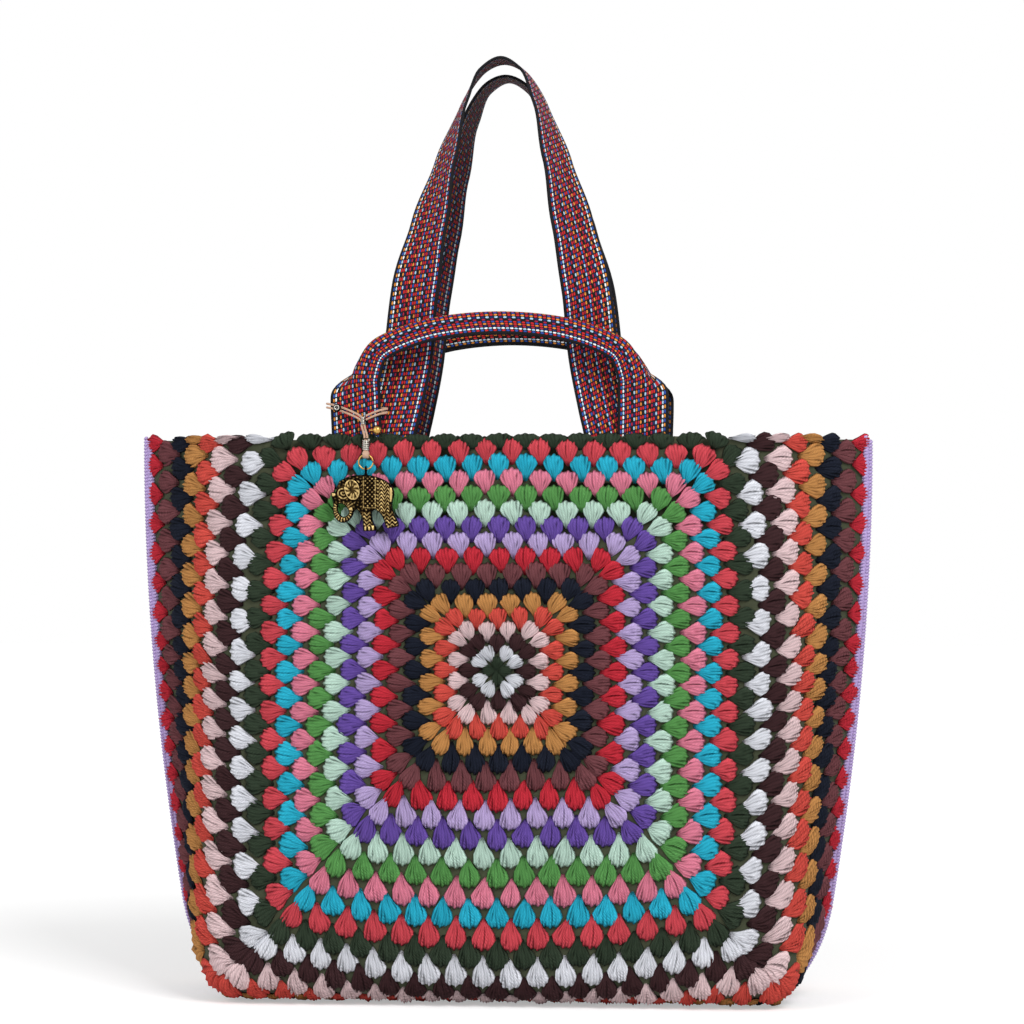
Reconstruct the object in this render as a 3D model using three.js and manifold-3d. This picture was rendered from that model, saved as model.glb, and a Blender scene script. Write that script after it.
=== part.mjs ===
// Crocheted granny-square tote bag: two crocheted panels joined by a seam, a cloth lining, two woven
// shoulder straps, two woven carry handles and a tied-on elephant charm.
// Millimetres, +Z up, -Y is the front. The origin is the middle of the base, on the surface it stands on.
import * as THREE from "three";
import { mergeVertices } from "three/addons/utils/BufferGeometryUtils.js";
import Module from "manifold-3d";

// Bag form, as the inner face of the crochet
const RIM_HEIGHT = 393; // top edge above the floor
const CROCHET_WALL = 6; // thickness of the crochet
const HALF_GIRTH = 265; // along the cloth, from the middle of the front to the side seam
const FLAT_AT_BASE = 186; // half the flat part of the front, at the base
const FLAT_AT_RIM = 165; // and at the rim
const BEND_LENGTH = 40; // cloth taken up by the bend between front and side
const SIDE_ANGLE_RIM = 34; // how far the side turns from the front, in degrees, at the rim
const SIDE_ANGLE_BASE = 88; // and at the base
const SIDE_ANGLE_POWER = 1.75; // how late it opens on the way down
const FRONT_EDGE_RADIUS = 18; // roll of the front into the base
const SIDE_EDGE_HEIGHT = 62; // the side tucks under from this high
const SIDE_EDGE_INSET = 34; // and by this much
const BASE_SPINE = 160; // half the length of the base's middle line

// Lining
const LINING_CLOTH = 1.2;
const LINING_GAP = 0.4; // between crochet and lining
const LINING_DROP = 3; // the lining's edge lies this far below the rim
const HEM_MARGIN = 18; // full stand-off reaches this far past the webbing ends
const HEM_FADE = 26; // and fades over this length
const LINING_SEAM_ALLOWANCE = 5; // the lining stops this far short of the side seam

// Webbing of the straps and handles
const WEB_WIDTH = 35;
const WEB_THICKNESS = 2;
const WEB_GAP = 0.4; // between layers in the hem
const WEB_TUCK = 30; // length sewn in below the rim
const STRAP_X = 76; // where a shoulder strap leaves the hem
const STRAP_RISE = 262; // from the rim to the top of the front shoulder strap's loop
const BACK_STRAP_DROP = 8; // the back strap's loop is this much lower
const HANDLE_X = 99; // where a carry handle leaves the hem
const HANDLE_RISE = 84; // from the rim to the top of the front handle's grip
const BACK_HANDLE_DROP = 2; // the back handle's grip is this much lower
const LEG_FORWARD = 1.4; // the handle's leg above the rim, in front of the crochet's inner face
const GRIP_FORWARD = 7; // and its folded grip
const STRAPS_APART = 1.3; // from the middle to each strap's edge at the top of the loops
const GRIP_FOLD = 84; // each half of the grip folds down by this many degrees
const CROWN_HALF = 3; // half the rounded crown of the fold

// Seam yarn that joins the two panels
const SEAM_RADIUS = 1.9;
const SEAM_PROUD = 3; // the seam's middle, outside the crochet's inner face
const SEAM_GAP = 0.4;

// Charm, tied to the left leg of the front handle. Its places are from the point where the middle of that
// leg crosses the rim, on the crochet's inner face.
const CORD_RADIUS = 0.75;
const CORD_GAP = 0.35;
const CORD_PITCH = 2.6; // between the upper and the lower strand of the loop
const LOOP_RISE = 14; // the upper strand above the rim
const LOOP_FRONT = 3.1; // the loop's middle line in front of the webbing
const LOOP_BACK = 1.2; // and behind it
const CHARM_X = 8;
const CHARM_FORWARD = 5.9; // the charm's middle in front of the crochet's outer face
const RING_Z = -18.5;
const RING_RADIUS = 5;
const RING_WIRE = 0.65; // wire radius
const EYELET_HOLE = 1.7;
const EYELET_RIM = 1.3; // metal round the hole
const EYELET_WIDTH = 1.6;
const EYELET_FOOT = 0.2; // its ring stands this far clear of the back, on its foot
const RUNNING_GAP = 0.3; // between wire and eyelet, and wire and tab
const ELEPHANT_FLAT = 3.6; // straight part of its thickness
const ELEPHANT_BEVEL = 0.9;
const ELEPHANT_BACK_Z = 16.6; // top of the back above the elephant's own middle
const EAR_HEIGHT = 1.1; // how far the ear stands proud
const TAB_WIDTH = 3.6;
const TAB_LEATHER = 1.3;
const TAB_RISE = 1.9; // from the ring's top to the coil bead
const COIL_RADIUS = 2.8;
const COIL_LENGTH = 8.4;
const COIL_TURNS = 6;
const COIL_DEPTH = 0.45; // groove between turns
const WRAP_RADIUS = 1.7;
const WRAP_LENGTH = 6;
const WRAP_TURNS = 4;
const WRAP_DEPTH = 0.3; // groove between turns
const WRAP_X = 5;
const WRAP_Z = 7.4; // bottom of the wrap
const BELL_RADIUS = 3.2;
const BELL_WALL = 0.7;
const BELL_SLOT = 0.7;
const BELL_ASIDE = 7.2; // the bell's middle beside the charm's
const BELL_STEM_RADIUS = 0.6;
const BELL_STEM_LENGTH = 2.4;
const BELL_SHARE = 0.4; // of the way from the wrap to the coil bead
const TOGGLE_RADIUS = 2.8;
const TOGGLE_BORE = 0.8;
const TOGGLE_IN = 5; // from the webbing's left edge
const TOGGLE_RISE = 5; // above the loop's upper strand in front

// Mesh fineness
const PANEL_FLAT_STEPS = 2;
const LINING_FLAT_STEPS = 6;
const BEND_STEPS = 6;
const SIDE_STEPS = 2;
const HEM_STEPS = 2;
const WALL_STEPS = 7;
const EDGE_STEPS = 4;
const BASE_STEPS = 2;
const STRAP_STEPS = 44;
const HANDLE_STEPS = 36;

const wasm = await Module();
wasm.setup();

const radians = THREE.MathUtils.degToRad;
const mix = THREE.MathUtils.lerp;
const ease = THREE.MathUtils.smoothstep;

// Materials
const matter = (color, roughness, metalness = 0) =>
  new THREE.MeshStandardMaterial({ color, roughness, metalness });
const YARN = matter(0xb8434a, 0.9);
const SEAM_YARN = matter(0xa590cf, 0.9);
const CANVAS = matter(0x3b3f2b, 0.95);
const WEBBING = matter(0x6b2230, 0.85);
const CORD = matter(0xb08a6b, 0.8);
const SILVER = matter(0x8f8c86, 0.35, 1);
const DARK_METAL = matter(0x3b3630, 0.45, 1);
const BRASS = matter(0xa8873f, 0.35, 1);
const ANTIQUE_BRASS = matter(0x6f5a33, 0.45, 1);

// A named mesh in a group
const bag = new THREE.Group();
function add(name, geometry, material, group = bag) {
  const mesh = new THREE.Mesh(geometry, material);
  mesh.name = name;
  group.add(mesh);
  return mesh;
}

// Solids for cutting and joining
function solidOf(geometry) {
  const bare = geometry.index ? geometry.toNonIndexed() : geometry.clone();
  bare.deleteAttribute("normal");
  bare.deleteAttribute("uv");
  const merged = mergeVertices(bare, 1e-4);
  return new wasm.Manifold(
    new wasm.Mesh({
      numProp: 3,
      vertProperties: merged.attributes.position.array,
      triVerts: new Uint32Array(merged.index.array),
    }),
  );
}

function geometryOf(solid) {
  const mesh = solid.getMesh();
  return new THREE.BufferGeometry()
    .setAttribute("position", new THREE.BufferAttribute(mesh.vertProperties, 3))
    .setIndex(new THREE.BufferAttribute(mesh.triVerts, 1));
}

// Geometry from a list of points and a list of quads or triangles
function faceted(points, faces) {
  const triangles = faces.flatMap((f) =>
    f.length === 4 ? [f[0], f[1], f[2], f[0], f[2], f[3]] : f,
  );
  return new THREE.BufferGeometry().setFromPoints(points).setIndex(triangles);
}

// A loft through rings of equal, even length, closed at both ends by strips from side to side
function loft(rings) {
  const n = rings[0].length;
  const last = (rings.length - 1) * n;
  const faces = [];
  for (let r = 0; r + 1 < rings.length; r++) {
    for (let i = 0; i < n; i++) {
      const j = (i + 1) % n;
      faces.push([r * n + i, r * n + j, (r + 1) * n + j, (r + 1) * n + i]);
    }
  }
  for (let i = 0; i + 1 < n / 2; i++) {
    const strip = [i, i + 1, n - 2 - i, n - 1 - i];
    faces.push([...strip].reverse());
    faces.push(strip.map((k) => last + k));
  }
  return faceted(rings.flat(), faces);
}

// Quarter section of the bag at a share of its height: flat front, round bend, straight side to the seam.
// The cloth doesn't stretch round the bag, so a place is given by its length along the cloth.
function sectionAt(height) {
  const share = THREE.MathUtils.clamp(height / RIM_HEIGHT, 0, 1);
  const opening = (1 - share) ** SIDE_ANGLE_POWER;
  const turn = radians(mix(SIDE_ANGLE_RIM, SIDE_ANGLE_BASE, opening));
  const flat = mix(FLAT_AT_BASE, FLAT_AT_RIM, share);
  const radius = BEND_LENGTH / turn;
  const side = HALF_GIRTH - flat - BEND_LENGTH;
  const halfDepth = radius * (1 - Math.cos(turn)) + side * Math.sin(turn);
  const place = (along) => {
    const bend = THREE.MathUtils.clamp((along - flat) / BEND_LENGTH, 0, 1) * turn;
    const past = Math.max(0, along - flat - BEND_LENGTH);
    const x = Math.min(along, flat) + radius * Math.sin(bend) + past * Math.cos(turn);
    const y = radius * (1 - Math.cos(bend)) + past * Math.sin(turn) - halfDepth;
    return [x, y];
  };
  return { turn, halfDepth, place };
}

// A point of the front half's inner face. girth runs from -HALF_GIRTH to HALF_GIRTH; row is 0 at the rim,
// 1 where the wall starts to roll under, 2 where the roll meets the base and 3 at the base's middle line.
function formPoint(girth, row) {
  const along = Math.abs(girth);
  const sideShare = ease(along, BASE_SPINE, HALF_GIRTH);
  const rollHeight = mix(FRONT_EDGE_RADIUS, SIDE_EDGE_HEIGHT, sideShare);
  const rollInset = mix(FRONT_EDGE_RADIUS, SIDE_EDGE_INSET, sideShare);
  const roll = THREE.MathUtils.clamp(row - 1, 0, 1) * (Math.PI / 2);
  const wallFoot = CROCHET_WALL + rollHeight;
  const z = row <= 1 ? mix(RIM_HEIGHT, wallFoot, row) : wallFoot - rollHeight * Math.sin(roll);
  const [x, y] = sectionAt(z).place(along);
  const spineX = Math.min(x, BASE_SPINE);
  const toSpine = Math.hypot(x - spineX, y);
  const inset =
    row <= 2 ? rollInset * (1 - Math.cos(roll)) : mix(rollInset, toSpine, row - 2);
  const share = toSpine > 0 ? inset / toSpine : 0;
  return new THREE.Vector3(Math.sign(girth) * mix(x, spineX, share), mix(y, 0, share), z);
}

// Outward direction of the form, from its neighbours along and down the cloth
function formNormal(girth, row) {
  const step = 0.4;
  const down = Math.min(row + 0.02, 2.98);
  const up = Math.max(row - 0.02, 0);
  const edge = HALF_GIRTH - step;
  const held = THREE.MathUtils.clamp(girth, -edge, edge);
  const across = formPoint(held + step, row).sub(formPoint(held - step, row));
  const along = formPoint(held, up).sub(formPoint(held, down));
  if (row > 2.5) return new THREE.Vector3(0, 0, -1);
  return across.cross(along).normalize();
}

// Rows of the form's mesh, from rim to base, with one just below the webbing ends in the hem
const steps = (from, to, count) => Array.from({ length: count }, (_, i) => mix(from, to, i / count));
const hemRow = (WEB_TUCK + HEM_MARGIN) / (RIM_HEIGHT - FRONT_EDGE_RADIUS);
const formRows = [
  ...steps(0, hemRow, HEM_STEPS),
  ...steps(hemRow, 1, WALL_STEPS),
  ...steps(1, 2, EDGE_STEPS),
  ...steps(2, 3, BASE_STEPS),
  3,
];
// Columns of the form's mesh, close together in the bend
function formGirths(flatSteps) {
  const right = [
    ...steps(0, FLAT_AT_RIM, flatSteps),
    ...steps(FLAT_AT_RIM, FLAT_AT_BASE + BEND_LENGTH, BEND_STEPS),
    ...steps(FLAT_AT_BASE + BEND_LENGTH, HALF_GIRTH, SIDE_STEPS),
    HALF_GIRTH,
  ];
  const left = right.slice(1).map((girth) => -girth);
  return [...left.reverse(), ...right];
}

// A panel: the front half of the form with the crochet's thickness, ending short of the seam yarn
const SEAM_CLEAR = SEAM_RADIUS + SEAM_GAP;
function panelGeometry() {
  const girths = formGirths(PANEL_FLAT_STEPS);
  const n = girths.length;
  const inner = [];
  const outer = [];
  for (const row of formRows) {
    for (const girth of girths) {
      const point = formPoint(girth, row);
      const out = point.clone().addScaledVector(formNormal(girth, row), CROCHET_WALL);
      point.y = Math.min(point.y, -SEAM_CLEAR);
      out.y = Math.min(out.y, -SEAM_CLEAR);
      if (row >= 2) out.z = 0;
      inner.push(point);
      outer.push(out);
    }
  }
  const shift = inner.length;
  const at = (r, i) => r * n + i;
  const faces = [];
  for (let r = 0; r + 1 < formRows.length; r++) {
    for (let i = 0; i + 1 < n; i++) {
      const quad = [at(r, i), at(r + 1, i), at(r + 1, i + 1), at(r, i + 1)];
      faces.push(quad.map((k) => k + shift));
      faces.push([...quad].reverse());
    }
    faces.push([at(r, 0), at(r + 1, 0), at(r + 1, 0) + shift, at(r, 0) + shift]);
    const e = n - 1;
    faces.push([at(r, e) + shift, at(r + 1, e) + shift, at(r + 1, e), at(r, e)]);
  }
  const last = formRows.length - 1;
  for (let i = 0; i + 1 < n; i++) {
    faces.push([at(0, i), at(0, i) + shift, at(0, i + 1) + shift, at(0, i + 1)]);
    faces.push([at(last, i + 1), at(last, i + 1) + shift, at(last, i) + shift, at(last, i)]);
  }
  return faceted([...inner, ...outer], faces);
}

// Crocheted panels
const backTurn = new THREE.Matrix4().makeRotationZ(Math.PI);
add("crochet_front", panelGeometry(), YARN);
add("crochet_back", panelGeometry().applyMatrix4(backTurn), YARN);

// Webbing layers in the hem, as distances behind the crochet's inner face
const HANDLE_LAYER = WEB_GAP + WEB_THICKNESS / 2;
const STRAP_LAYER = HANDLE_LAYER + WEB_THICKNESS + WEB_GAP;
const HEM_DEPTH = STRAP_LAYER + WEB_THICKNESS / 2 + WEB_GAP;

// Lining: a cloth bag inside the panels, which stands off where the webbing ends lie in the hem
function liningGap(girth, row) {
  const along = Math.abs(girth);
  const innerEdge = STRAP_X - WEB_WIDTH / 2 - HEM_MARGIN;
  const outerEdge = HANDLE_X + WEB_WIDTH / 2 + HEM_MARGIN;
  const inward = ease(along, innerEdge - HEM_FADE, innerEdge);
  const outward = 1 - ease(along, outerEdge, outerEdge + HEM_FADE);
  const below = row * (RIM_HEIGHT - FRONT_EDGE_RADIUS);
  const upper = 1 - ease(below, WEB_TUCK + HEM_MARGIN, WEB_TUCK + HEM_MARGIN + HEM_FADE);
  return mix(LINING_GAP, HEM_DEPTH, inward * outward * upper);
}

function liningGeometry() {
  const reach = HALF_GIRTH - LINING_SEAM_ALLOWANCE;
  const half = formGirths(LINING_FLAT_STEPS).map((girth) => THREE.MathUtils.clamp(girth, -reach, reach));
  const rows = formRows.slice(0, -1);
  const ring = (row, extra) => {
    const front = half.map((girth) => {
      const gap = liningGap(girth, row) + extra;
      const point = formPoint(girth, row).addScaledVector(formNormal(girth, row), -gap);
      if (row === 0) point.z = RIM_HEIGHT - LINING_DROP;
      return point;
    });
    return [...front, ...front.map((p) => p.clone().applyMatrix4(backTurn))];
  };
  const outer = rows.map((row) => ring(row, 0));
  const inner = rows.map((row) => ring(row, LINING_CLOTH));
  // From the outer base up the outside, over the edge and down the inside
  return loft([...outer.reverse(), ...inner]);
}
add("lining", liningGeometry(), CANVAS);

// Seam yarn: up one side, from rim to base, and along the base
function seamGeometry() {
  const side = formRows.slice(0, -1).map((row) => {
    const point = formPoint(HALF_GIRTH, row).addScaledVector(sideDirection(row), SEAM_PROUD);
    point.y = 0;
    return point;
  });
  side[0].z -= SEAM_GAP;
  const mirror = side.map((p) => new THREE.Vector3(-p.x, 0, p.z)).reverse();
  const path = new THREE.CatmullRomCurve3([...side, ...mirror]);
  const round = new THREE.Shape().absarc(0, 0, SEAM_RADIUS, 0, Math.PI * 2);
  return new THREE.ExtrudeGeometry(round, { steps: 56, curveSegments: 4, extrudePath: path });
}

// Outward at the side seam: sideways on the wall, turning down into the base
function sideDirection(row) {
  const roll = THREE.MathUtils.clamp(row - 1, 0, 1) * (Math.PI / 2);
  return new THREE.Vector3(Math.cos(roll), 0, -Math.sin(roll));
}
add("joining_seam", seamGeometry(), SEAM_YARN);

// Webbing section: a flat strip, folded down along its middle by an angle. Across is its width, up its face.
function webSection(foldDegrees) {
  const fold = radians(foldDegrees);
  const half = WEB_WIDTH / 2;
  const shoulder = [CROWN_HALF * Math.cos(fold / 2), -CROWN_HALF * Math.sin(fold / 2)];
  const arm = half - CROWN_HALF;
  const middle = [
    { at: [0, 0], lean: 0, reach: 1 / Math.cos(fold / 2) },
    { at: shoulder, lean: 0.75 * fold, reach: 1 / Math.cos(fold / 4) },
    { at: [shoulder[0] + arm * Math.cos(fold), shoulder[1] - arm * Math.sin(fold)], lean: fold, reach: 1 },
  ];
  const side = (face, mirror) =>
    middle.map(({ at, lean, reach }) => {
      const out = (face * reach * WEB_THICKNESS) / 2;
      return [mirror * (at[0] + out * Math.sin(lean)), at[1] + out * Math.cos(lean)];
    });
  const upper = [...side(1, -1).reverse(), ...side(1, 1).slice(1)];
  const lower = [...side(-1, 1).reverse(), ...side(-1, -1).slice(1)];
  return [...upper, ...lower];
}

// The same strip where it never folds
function flatSection() {
  const half = WEB_WIDTH / 2;
  const face = WEB_THICKNESS / 2;
  return [[-half, face], [half, face], [half, -face], [-half, -face]];
}

// A webbing strip along stations of { at: [x, y, z], twist, fold }: at no twist its face is to the front
function webGeometry(stations, count, section) {
  const points = stations.map((s) => new THREE.Vector3(...s.at));
  const path = new THREE.CatmullRomCurve3(points, false, "centripetal");
  const between = (key, share) => {
    const place = share * (stations.length - 1);
    const i = Math.min(Math.floor(place), stations.length - 2);
    return mix(stations[i][key], stations[i + 1][key], ease(place - i, 0, 1));
  };
  const rings = [];
  for (let k = 0; k <= count; k++) {
    const share = k / count;
    const centre = path.getPoint(share);
    const tangent = path.getTangent(share);
    const face = new THREE.Vector3(0, -1, 0);
    face.addScaledVector(tangent, -face.dot(tangent)).normalize();
    face.applyAxisAngle(tangent, -radians(between("twist", share)));
    const across = tangent.clone().cross(face);
    rings.push(
      section(between("fold", share)).map(([w, h]) =>
        centre.clone().addScaledVector(across, w).addScaledVector(face, h),
      ),
    );
  }
  return loft(rings);
}

// Stations mirrored from the left leg, which ends at the top
const withRightLeg = (left) => [
  ...left,
  ...left
    .slice(0, -1)
    .reverse()
    .map((s) => ({ ...s, at: [-s.at[0], s.at[1], s.at[2]] })),
];

// Where a webbing layer lies in the hem at a height
const inHem = (layer, z) => layer - sectionAt(z).halfDepth;
const rimDepth = sectionAt(RIM_HEIGHT).halfDepth;

// A webbing leg in the hem: at its sewn end, near the rim and on the rim
function hemStations(x, layer) {
  const heights = [RIM_HEIGHT - WEB_TUCK, RIM_HEIGHT - WEB_TUCK / 4, RIM_HEIGHT];
  return heights.map((z) => ({ at: [x, inHem(layer, z), z], twist: 0, fold: 0 }));
}

// Shoulder strap: flat in the hem, leaning in and back and turning edge-on towards the top of its loop.
// Each station is a share of the rise, of the way in to the middle, of the way back, and a twist.
function strapStations(rise) {
  const topY = -WEB_WIDTH / 2 - STRAPS_APART;
  const station = (up, inward, back, twist) => ({
    at: [mix(-STRAP_X, 0, inward), mix(inHem(STRAP_LAYER, RIM_HEIGHT), topY, back), RIM_HEIGHT + up * rise],
    twist,
    fold: 0,
  });
  return withRightLeg([
    ...hemStations(-STRAP_X, STRAP_LAYER),
    station(0.08, 0.06, 0.1, 0),
    station(0.21, 0.15, 0.3, 3),
    station(0.39, 0.217, 0.324, 14),
    station(0.56, 0.342, 0.413, 38),
    station(0.73, 0.487, 0.59, 60),
    station(0.88, 0.645, 0.835, 78),
    station(0.97, 0.803, 0.97, 87),
    station(1, 1, 1, 90),
  ]);
}
const strap = (rise) => webGeometry(strapStations(rise), STRAP_STEPS, flatSection);
add("shoulder_strap_front", strap(STRAP_RISE), WEBBING);
add("shoulder_strap_back", strap(STRAP_RISE - BACK_STRAP_DROP).applyMatrix4(backTurn), WEBBING);

// Carry handle: flat legs in front of the straps, folded lengthwise into a grip.
// Each station is a share of the rise, of the way in and of the way forward, a twist and a share of the fold.
function handleStations(rise) {
  const station = (up, inward, forward, twist, fold) => ({
    at: [
      mix(-HANDLE_X, 0, inward),
      -rimDepth - mix(LEG_FORWARD, GRIP_FORWARD, forward),
      RIM_HEIGHT + up * rise,
    ],
    twist,
    fold: fold * GRIP_FOLD,
  });
  return withRightLeg([
    ...hemStations(-HANDLE_X, HANDLE_LAYER),
    station(0.3, -0.005, 0, 0, 0),
    station(0.5, 0.005, 0.54, 42, 0.55),
    station(0.74, 0.1, 1, 74, 0.98),
    station(0.87, 0.3, 1, 82, 1),
    station(0.96, 0.586, 1, 88, 1),
    station(1, 1, 1, 90, 1),
  ]);
}
const handle = (rise) => webGeometry(handleStations(rise), HANDLE_STEPS, webSection);
add("carry_handle_front", handle(HANDLE_RISE), WEBBING);
add("carry_handle_back", handle(HANDLE_RISE - BACK_HANDLE_DROP).applyMatrix4(backTurn), WEBBING);

// The charm's own group
const charm = new THREE.Group();
charm.position.set(-HANDLE_X, -rimDepth, RIM_HEIGHT);
bag.add(charm);
const charmY = -CROCHET_WALL - CHARM_FORWARD;
const loopFrontY = -WEB_THICKNESS / 2 - LOOP_FRONT;
const loopBackY = WEB_THICKNESS / 2 + LOOP_BACK;
const wrapY = loopFrontY - CORD_GAP;

// A round cord along hand-chosen points
function cordGeometry(points, steps) {
  const path = new THREE.CatmullRomCurve3(points.map((p) => new THREE.Vector3(...p)));
  const round = new THREE.Shape().absarc(0, 0, CORD_RADIUS, 0, Math.PI * 2);
  return new THREE.ExtrudeGeometry(round, { steps, curveSegments: 4, extrudePath: path });
}

// The cord's loop, twice round the handle's left leg, from wrap to wrap and higher on its left
function loopPoints(drop) {
  const z = LOOP_RISE - drop;
  const edge = WEB_WIDTH / 2;
  const beside = WRAP_RADIUS + CORD_GAP;
  return [
    [WRAP_X - beside, wrapY, z - 0.6],
    [WRAP_X - beside - 7, loopFrontY, z + 3],
    [3.5 - edge, loopFrontY, z + 6.6],
    [-3.1 - edge, -0.9, z + 8],
    [-0.1 - edge, loopBackY, z + 7.6],
    [1, loopBackY, z + 6],
    [0.1 + edge, loopBackY, z + 5],
    [3.7 + edge, -0.8, z + 4.4],
    [edge - 0.5, loopFrontY + 0.3, z + 3.4],
    [WRAP_X + beside + 4, loopFrontY, z + 1.2],
    [WRAP_X + beside, wrapY, z - 0.6],
  ];
}
add("cord_loop_upper", cordGeometry(loopPoints(0), 32), CORD, charm);
add("cord_loop_lower", cordGeometry(loopPoints(CORD_PITCH), 32), CORD, charm);

// A bead turned from a profile with rounded ridges, like a coil of wire
function coilGeometry(radius, length, turns, depth) {
  const rings = 3 * turns;
  const profile = [new THREE.Vector2(0, 0)];
  for (let i = 0; i <= rings; i++) {
    const groove = i % 3 === 0 ? depth : 0;
    profile.push(new THREE.Vector2(radius - groove, (i / rings) * length));
  }
  profile.push(new THREE.Vector2(0, length));
  return new THREE.LatheGeometry(profile, 12).rotateX(Math.PI / 2);
}

// Wrap of wire that gathers the loop in front of the handle
const wrapShape = coilGeometry(WRAP_RADIUS, WRAP_LENGTH, WRAP_TURNS, WRAP_DEPTH);
const wrap = add("wrap_bead", wrapShape, SILVER, charm);
wrap.position.set(WRAP_X, wrapY, WRAP_Z);

// Coil bead, and the two cord strands that drop to it from the wrap
const COIL_Z = RING_Z + RING_RADIUS + RING_WIRE + TAB_RISE;
const coilShape = coilGeometry(COIL_RADIUS, COIL_LENGTH, COIL_TURNS, COIL_DEPTH);
const coil = add("coil_bead", coilShape, SILVER, charm);
coil.position.set(CHARM_X, charmY, COIL_Z);

// Each station of a strand is a share of the way from the wrap to the coil bead, across, forward and down
function dropPoints(side) {
  const spread = side * (CORD_RADIUS + CORD_GAP / 2);
  const topZ = WRAP_Z - CORD_GAP;
  const footZ = COIL_Z + COIL_LENGTH + CORD_GAP;
  const station = (across, forward, down) => [
    mix(WRAP_X, CHARM_X, across) + spread,
    mix(wrapY, charmY, forward),
    mix(topZ, footZ, down),
  ];
  return [
    station(0, 0, 0),
    station(0.2, 0.11, 0.25),
    station(0.7, 0.63, 0.6),
    station(1, 0.95, 0.9),
    station(1, 1, 1),
  ];
}
add("cord_drop_left", cordGeometry(dropPoints(-1), 10), CORD, charm);
add("cord_drop_right", cordGeometry(dropPoints(1), 10), CORD, charm);

// Leather tab: a folded strip that hangs the ring from the coil bead
function tabGeometry() {
  const ringSag = TAB_WIDTH ** 2 / (8 * RING_RADIUS);
  const inner = RING_WIRE + RUNNING_GAP + ringSag;
  const outer = inner + TAB_LEATHER;
  const ringTop = RING_Z + RING_RADIUS;
  const height = COIL_Z - CORD_GAP - ringTop;
  const profile = new THREE.Shape();
  profile.moveTo(-outer, height);
  profile.lineTo(-outer, 0);
  profile.absarc(0, 0, outer, Math.PI, Math.PI * 2, false);
  profile.lineTo(outer, height);
  const eye = new THREE.Path().absarc(0, 0, inner, 0, Math.PI * 2);
  profile.holes.push(eye);
  return new THREE.ExtrudeGeometry(profile, { depth: TAB_WIDTH, bevelEnabled: false, curveSegments: 10 })
    .translate(0, 0, -TAB_WIDTH / 2)
    .rotateX(Math.PI / 2)
    .rotateZ(Math.PI / 2)
    .translate(CHARM_X, charmY, ringTop);
}
add("leather_tab", tabGeometry(), CORD, charm);

// Jump ring, face to the front
const ring = add("jump_ring", new THREE.TorusGeometry(RING_RADIUS, RING_WIRE, 8, 28), BRASS, charm);
ring.rotation.x = Math.PI / 2;
ring.position.set(CHARM_X, charmY, RING_Z);

// Elephant charm: a cast silhouette with rounded edges, a raised ear and an eyelet across its back.
// Its outline runs from the head over the back, round each leg and foot, and back along the curled trunk.
function elephantOutline() {
  const to = (pairs) => pairs.map(([x, y]) => new THREE.Vector2(x, y));
  const outline = new THREE.Shape();
  outline.moveTo(-18.2, 12.5);
  outline.splineThru(to([
    [-12.1, 15.4], [-5, 16.5], [0, ELEPHANT_BACK_Z], [5.7, 15.8], [11.1, 13.9], [15.7, 11.2],
    [18.7, 7.8], [19.8, 3.6], [18.6, -1.6], [18.4, -5.6], [20.2, -10.8], [22.8, -16.6],
  ]));
  outline.lineTo(22.9, -18.9);
  outline.lineTo(15.2, -20.4);
  outline.lineTo(13.6, -18.4);
  outline.splineThru(to([
    [12.8, -15.2], [10.9, -11.2], [8.4, -8.5], [6.2, -7.4], [4.5, -9], [4.4, -13], [5.4, -16.6], [7.4, -19.6],
  ]));
  outline.lineTo(7.2, -21.9);
  outline.lineTo(-1.6, -22.3);
  outline.lineTo(-1.9, -19.8);
  outline.splineThru(to([
    [-1.9, -16], [-3, -12.1], [-4.6, -8.9], [-6.3, -7.4], [-8, -8.6], [-9.3, -11.8], [-11.4, -14.5],
    [-14.3, -16.2], [-17.5, -16.2], [-20.4, -14.3], [-22.2, -10.7], [-22.7, -6.4], [-22.6, -1.8],
    [-23.8, 1.8], [-24.2, 3.8], [-22.9, 5], [-21.1, 4.8], [-19.8, 8.7], [-18.2, 12.5],
  ]));
  const trunkLoop = new THREE.Path();
  trunkLoop.moveTo(-19.2, -3.4);
  trunkLoop.splineThru(to([
    [-19.2, -7.6], [-17.6, -11], [-15.3, -12.2], [-13, -11.2], [-11.7, -8.9], [-12.9, -6.2], [-16.2, -3.4],
    [-19.2, -3.4],
  ]));
  outline.holes.push(trunkLoop);
  return outline;
}

// The eyelet's foot stands on the back, and the eyelet hangs on the ring
const EYELET_HALF = EYELET_HOLE + EYELET_RIM;
const EYELET_Z = RING_Z - RING_RADIUS - (EYELET_HOLE - RING_WIRE - RUNNING_GAP);
const ELEPHANT_Z = EYELET_Z - EYELET_HALF - EYELET_FOOT - ELEPHANT_BACK_Z;

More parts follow.
